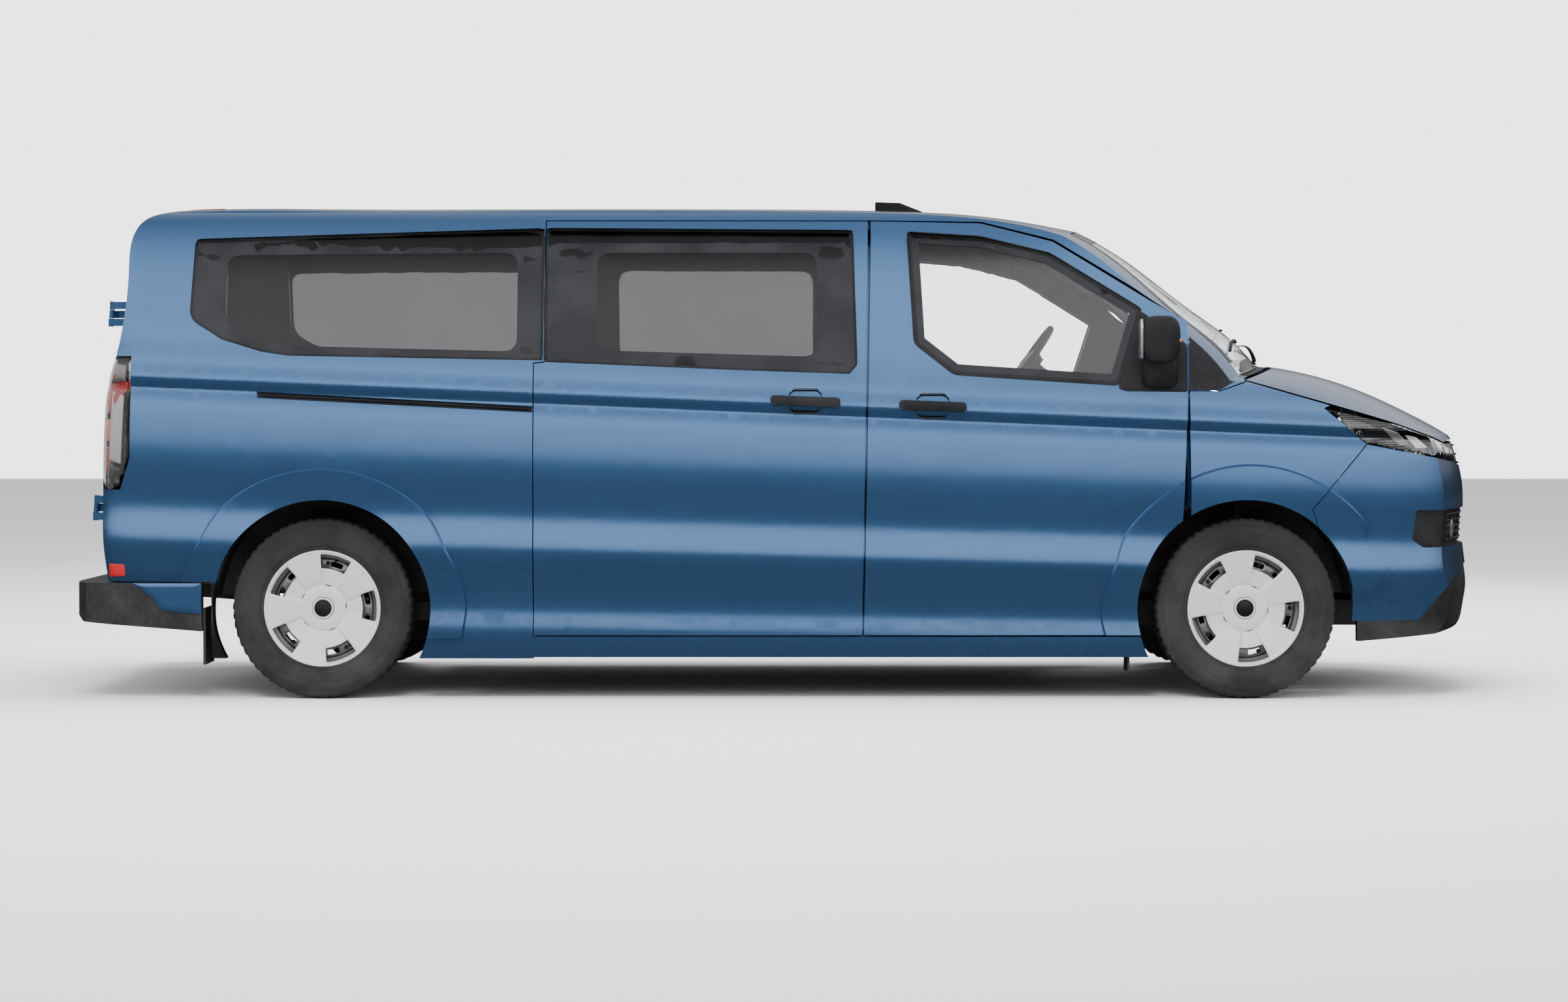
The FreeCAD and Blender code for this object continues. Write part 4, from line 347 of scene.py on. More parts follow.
def plain_plastic(name, colour, rough, scale=900.0, strength=0.35, dusty=0.0, wear=0.0, coat=0.0):
    """Moulded plastic, rubber or paint in one colour, with grain, dust and rubbed edges."""
    material, tree, shader = start_material(name)
    grain = effect(tree, "grain", Scale=scale)
    tone = ramp(tree, grain.outputs["Unevenness"], 0.3, 0.7)
    light = tuple(min(1.0, value * 1.35 + 0.004) for value in colour)
    base = mix_colour(tree, tone, colour, light)
    if wear:
        worn = effect(tree, "wear", Amount=wear)
        base = mix_colour(tree, worn.outputs["Mask"], base, tuple(min(1.0, value * 2.6 + 0.03)
                                                                  for value in colour))
    rough_value = ramp(tree, grain.outputs["Unevenness"], 0.3, 0.7, rough - 0.05, rough + 0.06)
    if dusty:
        dust = effect(tree, "dust", Top=0.8, Amount=dusty)
        base = mix_colour(tree, dust.outputs["Mask"], base, (0.25, 0.22, 0.19))
        rough_value = maths(tree, "ADD", rough_value, maths(tree, "MULTIPLY", dust.outputs["Mask"], 0.3),
                            True)
    tree.links.new(base, shader.inputs["Base Color"])
    tree.links.new(rough_value, shader.inputs["Roughness"])
    set_up(shader, Coat_Weight=coat, Coat_Roughness=0.06, Specular_IOR_Level=0.3)
    bump(tree, grain.outputs["Height"], strength, 0.0005, shader)
    return material


def metal(name, colour, rough, flake=0.0, coat=0.0, dusty=0.0, metallic=0.85):
    """Painted or bare metal with fine brushing or sparkle."""
    material, tree, shader = start_material(name)
    sparkle = effect(tree, "flake", Scale=3200.0)
    wear = effect(tree, "wear", Amount=0.35)
    tone = ramp(tree, sparkle.outputs["Flake"], 0.0, 1.0, 0.0, flake)
    base = mix_colour(tree, tone, colour, tuple(min(1.0, value * 1.5) for value in colour))
    base = mix_colour(tree, wear.outputs["Mask"], base, tuple(value * 0.7 for value in colour))
    rough_value = ramp(tree, sparkle.outputs["Ripple"], 0.2, 0.8, rough - 0.05, rough + 0.08)
    if dusty:
        dust = effect(tree, "dust", Top=0.9, Amount=dusty)
        base = mix_colour(tree, dust.outputs["Mask"], base, (0.20, 0.16, 0.13))
        rough_value = maths(tree, "ADD", rough_value, dust.outputs["Mask"], True)
    tree.links.new(base, shader.inputs["Base Color"])
    tree.links.new(rough_value, shader.inputs["Roughness"])
    set_up(shader, Metallic=metallic, Coat_Weight=coat, Coat_Roughness=0.05)
    return material


def glass(name, tint, rough=0.0):
    """Pane that lets plain tinted light through for shadows."""
    material, tree, shader = start_material(name)
    film = effect(tree, "grain", Scale=300.0)
    tone = ramp(tree, film.outputs["Unevenness"], 0.2, 0.8)
    tree.links.new(mix_colour(tree, tone, tint, tuple(value * 0.96 for value in tint)),
                   shader.inputs["Base Color"])
    set_up(shader, Roughness=rough, IOR=1.45, Transmission_Weight=1.0)
    shade = add(tree, "ShaderNodeBsdfTransparent", {"Color": (*tint[:3], 1)})
    rays = add(tree, "ShaderNodeLightPath")
    both = add(tree, "ShaderNodeMixShader", {0: rays.outputs["Is Shadow Ray"], 1: shader.outputs[0],
                                             2: shade.outputs[0]})
    tree.links.new(both.outputs[0], tree.nodes["Material Output"].inputs["Surface"])
    return material


def lens(name, tint, ribs):
    """Lamp cover with moulded ribs on its back."""
    material = glass(name, tint, 0.02)
    tree = material.node_tree
    wave = add(tree, "ShaderNodeTexWave", {"Vector": object_place(tree), "Scale": ribs, "Distortion": 0.0},
               wave_type="BANDS", bands_direction="Z")
    bump(tree, wave.outputs["Fac"], 0.25, 0.0015, tree.nodes["Principled BSDF"])
    return material


def seat_cloth(name, colour):
    material, tree, shader = start_material(name)
    weave = effect(tree, "weave", Scale=150.0)
    light = tuple(min(1.0, value * 2.1 + 0.01) for value in colour)
    tree.links.new(mix_colour(tree, weave.outputs["Thread"], colour, light), shader.inputs["Base Color"])
    tree.links.new(mix_value(tree, weave.outputs["Thread"], 0.88, 0.96), shader.inputs["Roughness"])
    set_up(shader, Sheen_Weight=0.35, Sheen_Roughness=0.45)
    bump(tree, weave.outputs["Height"], 0.5, 0.0009, shader)
    return material


def floor_sides():
    """Floor pan: ribbed mat on top, dusty sealed sheet below."""
    material, tree, shader = start_material("floor_and_underside")
    coords = add(tree, "ShaderNodeTexCoord")
    normal = add(tree, "ShaderNodeSeparateXYZ", {0: coords.outputs["Normal"]})
    up = ramp(tree, normal.outputs["Z"], 0.2, 0.4)
    wave = add(tree, "ShaderNodeTexWave", {"Vector": coords.outputs["Object"], "Scale": 28.0},
               wave_type="BANDS", bands_direction="Y")
    grain = effect(tree, "grain", Scale=500.0)
    dust = effect(tree, "dust", Top=1.2, Amount=0.5)
    under = mix_colour(tree, dust.outputs["Mask"], (0.018, 0.018, 0.019), (0.12, 0.10, 0.085))
    tree.links.new(mix_colour(tree, up, under, (0.045, 0.046, 0.05)), shader.inputs["Base Color"])
    tree.links.new(mix_value(tree, up, 0.85, 0.6), shader.inputs["Roughness"])
    height = mix_value(tree, up, grain.outputs["Height"], wave.outputs["Fac"])
    bump(tree, height, 0.4, 0.001, shader)
    return material


def faceted(name, colour, rough, metallic=0.0):
    """Faceted face of a lamp's reflector or cell."""
    material, tree, shader = start_material(name)
    facets = add(tree, "ShaderNodeTexVoronoi", {"Vector": object_place(tree), "Scale": 120.0})
    tone = ramp(tree, facets.outputs["Distance"], 0.0, 0.6)
    base = mix_colour(tree, tone, colour, tuple(value * 0.8 for value in colour))
    tree.links.new(base, shader.inputs["Base Color"])
    set_up(shader, Roughness=rough, Metallic=metallic)
    bump(tree, facets.outputs["Distance"], 0.3, 0.002, shader)
    return material


MATERIAL_MAKERS = {
    "paint": body_paint,
    "plastic": lambda: plain_plastic("outer_plastic", finish().plastic, 0.5, wear=0.15, dusty=0.08),
    "gloss": lambda: plain_plastic("gloss_black", (0.008, 0.008, 0.009), 0.16, strength=0.03, coat=0.6),
    "frit": lambda: plain_plastic("ceramic_border", (0.012, 0.012, 0.014), 0.12, strength=0.01),
    "seal": lambda: plain_plastic("seal_rubber", (0.010, 0.010, 0.011), 0.62, strength=0.25),
    "rubber": lambda: plain_plastic("tyre_rubber", finish().rubber, 0.78, 1400.0, 0.45, dusty=0.08,
                                    wear=0.1),
    "cabin": lambda: plain_plastic("cabin_plastic", finish().cabin, 0.6, 800.0, 0.5, wear=0.15),
    "cabin_grey": lambda: plain_plastic("grey_trim", (0.19, 0.19, 0.195), 0.62, 800.0, 0.4),
    "silver": lambda: metal("wheel_silver", finish().cover, 0.36, flake=0.4, coat=0.5, metallic=0.35),
    "rim": lambda: metal("steel_wheel", (0.34, 0.345, 0.35), 0.36, flake=0.2, dusty=0.15),
    "dark_metal": lambda: metal("wheel_bolts", (0.03, 0.03, 0.032), 0.4, dusty=0.2),
    "steel": lambda: metal("chassis_steel", (0.10, 0.10, 0.105), 0.5, dusty=0.6),
    "exhaust": lambda: metal("exhaust_steel", (0.26, 0.25, 0.24), 0.42, dusty=0.7),
    "bowl": lambda: faceted("lamp_bowl", (0.86, 0.88, 0.90), 0.12, 0.9),
    "white_cell": lambda: faceted("lamp_white_cell", (0.80, 0.82, 0.84), 0.25),
    "red_cell": lambda: faceted("lamp_red_cell", (0.42, 0.012, 0.014), 0.25),
    "amber_cell": lambda: faceted("lamp_amber_cell", (0.75, 0.22, 0.02), 0.25),
    "privacy": lambda: glass("privacy_glass", finish().privacy),
    "clear": lambda: glass("clear_glass", finish().clear),
    "lamp_white": lambda: faceted("lamp_ribbed_cell", (0.62, 0.62, 0.64), 0.4),
    "lamp_grey": lambda: faceted("lamp_grey_cell", (0.26, 0.25, 0.25), 0.3),
    "lamp_clear": lambda: lens("lamp_lens", (0.93, 0.94, 0.95), 40.0),
    "lamp_smoke": lambda: lens("tail_lens", (0.80, 0.79, 0.79), 90.0),
    "lamp_red": lambda: plain_plastic("red_lens", (0.33, 0.008, 0.010), 0.14, 300.0, 0.08, coat=1.0),
    "mirror": lambda: metal("mirror_glass", (0.75, 0.77, 0.79), 0.03),
    "cloth": lambda: seat_cloth("seat_cloth", finish().cloth),
    "floor": floor_sides,
    "plate": lambda: plain_plastic("blank_plate", (0.72, 0.72, 0.70), 0.35, 600.0, 0.05, coat=0.3),
    "tank": lambda: plain_plastic("tank_plastic", (0.014, 0.014, 0.015), 0.55, dusty=0.6),
    "block": lambda: metal("cast_block", (0.20, 0.20, 0.20), 0.55, dusty=0.6),
    "screen": lambda: plain_plastic("screen_glass", (0.006, 0.007, 0.009), 0.08, strength=0.0, coat=1.0),
}
MATERIALS = {}


def look(name):
    if name not in MATERIALS:
        MATERIALS[name] = MATERIAL_MAKERS[name]()
    return MATERIALS[name]


# Mesh building
def piece_from(name, points, faces, material, body, slot, sharp=38, bevel=0.0, rounding=0, solid=0.0):
    """A mesh piece in the frame, riding on its body."""
    mesh = bpy.data.meshes.new(name)
    mesh.from_pydata([tuple(p) for p in points], [], faces)
    mesh.validate()
    work = bmesh.new()
    work.from_mesh(mesh)
    bmesh.ops.remove_doubles(work, verts=work.verts, dist=1e-5)
    bmesh.ops.recalc_face_normals(work, faces=work.faces)
    work.to_mesh(mesh)
    work.free()
    mesh.shade_smooth()
    mesh.set_sharp_from_angle(angle=math.radians(sharp))
    obj = bpy.data.objects.new(name, mesh)
    bpy.context.scene.collection.objects.link(obj)
    if solid:
        thick = obj.modifiers.new("thickness", "SOLIDIFY")
        thick.thickness = solid
        thick.offset = -1
    if bevel:
        edge = obj.modifiers.new("edges", "BEVEL")
        edge.width = bevel
        edge.segments = 2
        edge.limit_method = "ANGLE"
    if rounding:
        smooth = obj.modifiers.new("rounding", "SUBSURF")
        smooth.levels = smooth.render_levels = rounding
    mesh.materials.append(look(material))
    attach(obj, body)
    return obj


def lofted(rings, closed=True, cap_start=False, cap_end=False):
    """Points and faces of a skin over equal rings."""
    count = len(rings[0])
    points = [p for ring in rings for p in ring]
    faces = []
    span = count if closed else count - 1
    for row in range(len(rings) - 1):
        for i in range(span):
            j = (i + 1) % count
            faces.append((row * count + i, row * count + j, (row + 1) * count + j, (row + 1) * count + i))
    if cap_start:
        faces.append(tuple(range(count)))
    if cap_end:
        faces.append(tuple((len(rings) - 1) * count + i for i in range(count)))
    return points, faces


def merged(parts):
    """One point and face list from several."""
    points, faces = [], []
    for some_points, some_faces in parts:
        start = len(points)
        points += [Vector(p) for p in some_points]
        faces += [tuple(start + i for i in face) for face in some_faces]
    return points, faces


def flipped(parts, side):
    """The same shape on the other side of the middle plane where side is 1; shapes are made on the right."""
    points, faces = parts
    if side < 0:
        return points, faces
    return [Vector((p[0], -p[1], p[2])) for p in points], faces


def tree_of(*names):
    """Rays are cast against these CAD nodes."""
    points, faces = [], []
    for name in names:
        mesh = NODES[name].data
        start = len(points)
        points += [v.co.copy() for v in mesh.vertices]
        faces += [[start + i for i in polygon.vertices] for polygon in mesh.polygons]
    return BVHTree.FromPolygons(points, faces)


def on_side(tree, side):
    """(x, z, height) to a point on the side of the body, height outwards."""
    def spot(x, z, height=0.0):
        hit = tree.ray_cast(Vector((x, side * 1.5, z)), Vector((0, -side, 0)))[0]
        if hit is None or hit.y * side < 0.4:
            hit = tree.find_nearest(Vector((x, side * 1.0, z)))[0]
            hit = Vector((x, hit.y, z))
        return Vector((hit.x, hit.y + side * height, hit.z))
    return spot


def on_end(tree, way):
    """(y, z, height) to a point on the front (way 1) or the back (way -1)."""
    def spot(y, z, height=0.0):
        hit = tree.ray_cast(Vector((way * 3.2, y, z)), Vector((-way, 0, 0)))[0]
        if hit is None:
            near = tree.find_nearest(Vector((way * 2.8, y, z)))[0]
            hit = Vector((near.x, y, z))
        return Vector((hit.x + way * height, hit.y, hit.z))
    return spot


def rounded_loop(outline, inset, radius, arcs, step):
    """Polygon moved inwards, with round corners and divided runs; its count is the same for every inset."""
    corners = [Vector(p) for p in outline]
    count = len(corners)
    area = sum(corners[i].x * corners[(i + 1) % count].y - corners[(i + 1) % count].x * corners[i].y
               for i in range(count))
    turn = 1 if area > 0 else -1
    ways = [(corners[(i + 1) % count] - corners[i]).normalized() for i in range(count)]
    moved = []
    bends = []
    for i in range(count):
        before, after = ways[i - 1], ways[i]
        n1 = Vector((-before.y, before.x)) * turn
        n2 = Vector((-after.y, after.x)) * turn
        mid = (n1 + n2).normalized()
        moved.append(corners[i] + mid * (inset / max(0.35, mid.dot(n2))))
        bends.append((before.x * after.y - before.y * after.x) * turn)
    loop = []
    for i in range(count):
        here, previous, following = moved[i], moved[i - 1], moved[(i + 1) % count]
        reach = radius - inset if bends[i] > 0 else radius + inset
        base_before = (corners[i] - corners[i - 1]).length
        base_after = (corners[(i + 1) % count] - corners[i]).length
        reach = min(max(reach, 0.002), 0.45 * base_before, 0.45 * base_after)
        start = here + (previous - here).normalized() * reach
        end = here + (following - here).normalized() * reach
        for k in range(arcs + 1):
            t = k / arcs
            loop.append(start * (1 - t) ** 2 + here * 2 * t * (1 - t) + end * t ** 2)
        runs = max(1, int(base_after / step))
        other_reach = radius - inset if bends[(i + 1) % count] > 0 else radius + inset
        base_next = (corners[(i + 2) % count] - corners[(i + 1) % count]).length
        other_reach = min(max(other_reach, 0.002), 0.45 * base_after, 0.45 * base_next)
        target = following + (here - following).normalized() * other_reach
        for k in range(1, runs):
            loop.append(end.lerp(target, k / runs))
    return loop


def shaped(outline, profile, spot, radius, fill=0, step=0.05, arcs=4):
    """Moulding from (inset, height) steps round an outline, filled inwards when fill is set."""
    loops = [rounded_loop(outline, inset, radius, arcs, step) for inset, _ in profile]
    rings = [[spot(p.x, p.y, height) for p in loop] for loop, (_, height) in zip(loops, profile)]
    if not fill:
        return lofted(rings)
    last, height = loops[-1], profile[-1][1]
    centre = sum(last, Vector((0, 0))) / len(last)
    for k in range(1, fill):
        rings.append([spot(*p.lerp(centre, k / fill), height) for p in last])
    points, faces = lofted(rings)
    start = (len(rings) - 1) * len(last)
    points.append(spot(centre.x, centre.y, height))
    for i in range(len(last)):
        faces.append((start + i, start + (i + 1) % len(last), len(points) - 1))
    return points, faces


def oblong(x0, z0, x1, z1):
    """Outline of a rectangle from two corners."""
    return [(x0, z0), (x1, z0), (x1, z1), (x0, z1)]


def disc(x, z, radius, count):
    """Outline of a round face."""
    turns = [2 * math.pi * k / count for k in range(count)]
    return [(x + radius * math.cos(a), z + radius * math.sin(a)) for a in turns]


def in_polygon(p, outline):
    inside = False
    for a, b in zip(outline, outline[1:] + outline[:1]):
        if (a[1] > p[1]) != (b[1] > p[1]) and p[0] < (b[0] - a[0]) * (p[1] - a[1]) / (b[1] - a[1]) + a[0]:
            inside = not inside
    return inside


def sheet_between(outer, inner, spot, height, grid=0.07):
    """A thin sheet over the surface, between an outline and the opening in it."""
    outer = [Vector(p) for p in outer]
    inner = [Vector(p) for p in inner]
    points = list(outer) + list(inner)
    edges = [(i, (i + 1) % len(outer)) for i in range(len(outer))]
    first = len(outer)
    edges += [(first + i, first + (i + 1) % len(inner)) for i in range(len(inner))]
    low_x, high_x = min(p.x for p in outer), max(p.x for p in outer)
    low_y, high_y = min(p.y for p in outer), max(p.y for p in outer)
    for i in range(1, int((high_x - low_x) / grid) + 1):
        for j in range(1, int((high_y - low_y) / grid) + 1):
            p = (low_x + i * grid, low_y + j * grid)
            if in_polygon(p, outer) and not in_polygon(p, inner):
                points.append(Vector(p))
    flat, _, faces, *_ = delaunay_2d_cdt(points, edges, [], 0, 1e-6)
    kept = []
    for face in faces:
        centre = sum((flat[i] for i in face), Vector((0, 0))) / len(face)
        if in_polygon(centre, outer) and not in_polygon(centre, inner):
            kept.append(tuple(face))
    return [spot(p.x, p.y, height) for p in flat], kept


def rounded_turns(count, power, other_power):
    """Points round a square from -1 to 1; powers under 1 draw the circle out into its corners."""
    turns = []
    for k in range(count):
        a = 2 * math.pi * k / count
        c, s = math.cos(a), math.sin(a)
        turns.append((math.copysign(abs(c) ** power, c), math.copysign(abs(s) ** other_power, s)))
    return turns


def ring_points(centre, right, up, width, height, count, power):
    """A rounded rectangle or ellipse in the plane of two directions."""
    turns = rounded_turns(count, 2 / power, 2 / power)
    return [centre + right * (x * width / 2) + up * (y * height / 2) for x, y in turns]


def rod(path, radius, count, flat=1.0):
    """A tube along points; flat squeezes it vertically."""
    path = [Vector(p) for p in path]
    rings = []
    for i, p in enumerate(path):
        ahead = path[min(i + 1, len(path) - 1)] - path[max(i - 1, 0)]
        ahead.normalize()
        reference = Vector((0, 0, 1)) if abs(ahead.z) < 0.9 else Vector((1, 0, 0))
        right = ahead.cross(reference).normalized()
        up = right.cross(ahead)
        size = radius[i] if isinstance(radius, (list, tuple)) else radius
        rings.append(ring_points(p, right, up, 2 * size, 2 * size * flat, count, 2.0))
    return lofted(rings, cap_start=True, cap_end=True)


def curve_through(points, steps=6):
    """More points on a smooth line through a few."""
    points = [Vector(p) for p in points]
    line = []
    for i in range(len(points) - 1):
        before = points[max(i - 1, 0)]
        a, b = points[i], points[i + 1]
        after = points[min(i + 2, len(points) - 1)]
        for k in range(steps):
            t = k / steps
            line.append(0.5 * ((2 * a) + (b - before) * t + (2 * before - 5 * a + 4 * b - after) * t ** 2
                               + (3 * a - before - 3 * b + after) * t ** 3))
    return line + [points[-1]]


def brick(low, high, taper):
    """Box with its top drawn in, for bevelled blocks."""
    (x0, y0, z0), (x1, y1, z1) = low, high
    tx, ty = taper
    points = [(x0, y0, z0), (x1, y0, z0), (x1, y1, z0), (x0, y1, z0),
              (x0 + tx, y0 + ty, z1), (x1 - tx, y0 + ty, z1), (x1 - tx, y1 - ty, z1), (x0 + tx, y1 - ty, z1)]
    faces = [(0, 1, 2, 3), (4, 5, 6, 7), (0, 1, 5, 4), (1, 2, 6, 5), (2, 3, 7, 6), (3, 0, 4, 7)]
    return points, faces


def faces_of(node, wanted):
    """Points and faces of a CAD node, where a face passes a test on its centre and normal."""
    mesh = NODES[node].data
    points = [v.co.copy() for v in mesh.vertices]
    faces = [tuple(polygon.vertices) for polygon in mesh.polygons if wanted(polygon.center, polygon.normal)]
    used = sorted({i for face in faces for i in face})
    order = {old: new for new, old in enumerate(used)}
    return [points[i] for i in used], [tuple(order[i] for i in face) for face in faces]


# Finishes on the CAD nodes
def both(*parts):
    """Names of the right and the left one of each part."""
    return [f"{part}_{name}" for part in parts for name, _ in SIDES]


CAD_LOOKS = {
    "paint": both("quarter_panel", "fender", "sliding_door", "front_door", "rear_door")
             + ["roof_panel", "body_frame", "front_bumper", "bonnet"],
    "plastic": ["front_trim", "rear_bumper"],
    "gloss": ["roof_pod"],
    "rubber": ["mudflaps"],
    "privacy": ["side_glass"] + both("rear_glass"),
    "clear": ["windscreen"] + both("front_glass"),
    "cabin": ["dashboard", "steering_wheel"],
    "floor": ["floor_pan"],
    "block": ["engine_block"],
    "steel": ["front_subframe", "front_struts", "rear_axle"] + both("knuckle"),
    "tank": ["fuel_tank"],
    "exhaust": ["exhaust_pipe"],
    "lamp_red": ["rear_lamps"],
    "lamp_clear": ["headlamps"],
    "silver": both("wheel_front", "wheel_rear"),
    "cloth": ["front_seats", "rear_benches"],
}


def finish_cad():
    for material, names in CAD_LOOKS.items():
        for name in names:
            obj = NODES[name]
            obj.data.materials.clear()
            obj.data.materials.append(look(material))
            for slot in obj.material_slots:
                slot.material = look(material)


# Wheels
def wheel_spot(end, name, side):
    """(radius, angle, outwards) on a wheel to a point in the frame."""
    at = WHEEL_AT[end, name]

    def spot(radius, angle, out):
        return Vector((at.x + radius * math.cos(angle), at.y + side * out, at.z + radius * math.sin(angle)))
    return spot


def turned(line, spot, count, cap_end=False):
    """Points and faces of (radius, outwards) steps turned round a wheel's axle."""
    turns = [2 * math.pi * k / count for k in range(count)]
    return lofted([[spot(radius, a, out) for a in turns] for radius, out in line], cap_end=cap_end)


BEAD = 0.2165
TYRE_LINE = [(BEAD, 0.0840), (0.2200, 0.0905), (0.2280, 0.0955), (0.2335, 0.0950), (0.2360, 0.0985),
             (0.2440, 0.1030), (0.2600, 0.1062), (0.2780, 0.1073), (0.2800, 0.1062), (0.2830, 0.1073),
             (0.2980, 0.1062), (0.3120, 0.1025), (0.3140, 0.1005), (0.3165, 0.1010), (0.3270, 0.0965),
             (0.3345, 0.0905)]
TREAD_LINE = [(0.3400, 0.0830, 1), (0.3418, 0.0740, 1), (0.3424, 0.0620, 1), (0.3424, 0.0610, 0),
              (0.3424, 0.0530, 0), (0.3427, 0.0520, 2), (0.3430, 0.0260, 2), (0.3430, 0.0250, 0),
              (0.3430, 0.0170, 0), (0.3430, 0.0160, 2)]
BLOCKS = 58
BLOCK_MARKS = (0.0, 0.06, 0.50, 0.56, 0.80, 0.86)


def make_tyre(end, name, side):
    spot = wheel_spot(end, name, side)
    depth = sizes().tread_depth
    rows = [(r, out, None) for r, out in TYRE_LINE] + [(r, out, kind) for r, out, kind in TREAD_LINE]
    rows += [(r, -out, kind) for r, out, kind in reversed(TREAD_LINE)]
    rows += [(r, -out, None) for r, out in reversed(TYRE_LINE)]
    columns = []
    for block in range(BLOCKS):
        for mark in BLOCK_MARKS:
            cut_shoulder = mark in (0.0, 0.06)
            cut_middle = mark in (0.50, 0.56)
            columns.append((2 * math.pi * (block + mark) / BLOCKS, cut_shoulder, cut_middle))
    rings = []
    for radius, out, kind in rows:
        ring = []
        for angle, cut_shoulder, cut_middle in columns:
            r = radius
            if kind == 0:
                r -= depth
            elif kind == 1 and cut_shoulder:
                r -= depth * 0.8
            elif kind == 2 and (cut_middle or cut_shoulder):
                r -= depth * 0.6
            lean = 0.02 * out / 0.08 if kind is not None else 0.0
            ring.append(spot(r, angle + lean, out))
        rings.append(ring)
    points, faces = lofted(rings)
    obj = piece_from(f"tyre_{end}_{name}_treaded", points, faces, "rubber", f"{end}_{name}_wheel",
                     "tyre_rubber", 32)
    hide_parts(f"tyre_{end}_{name}")


COVER_LINE = [(0.041, 0.0700), (0.055, 0.0712), (0.072, 0.0706), (0.0835, 0.0690), (0.0870, 0.0672),
              (0.0885, 0.0676), (0.0925, 0.0700), (0.105, 0.0732), (0.122, 0.0772), (0.140, 0.0810),
              (0.1490, 0.0828), (0.1515, 0.0832), (0.1650, 0.0856), (0.1820, 0.0882), (0.1990, 0.0905),
              (0.2050, 0.0914), (0.2080, 0.0920), (0.2120, 0.0942), (0.2165, 0.0955), (0.2205, 0.0948),
              (0.2220, 0.0915), (0.2195, 0.0880)]
WINDOW_ANGLES = (-36, -31, -26, -22, -19.5, -18, -16.6, -15, -13, -10, -5, 0, 5, 10, 13, 15, 16.6, 18, 19.5,
                 22, 26, 31)
WINDOW_HALF = 16.6
PANEL_HALF = 15.0
PANEL_IN, PANEL_OUT = 0.0885, 0.208
WINDOW_IN, WINDOW_OUT = 0.151, 0.206


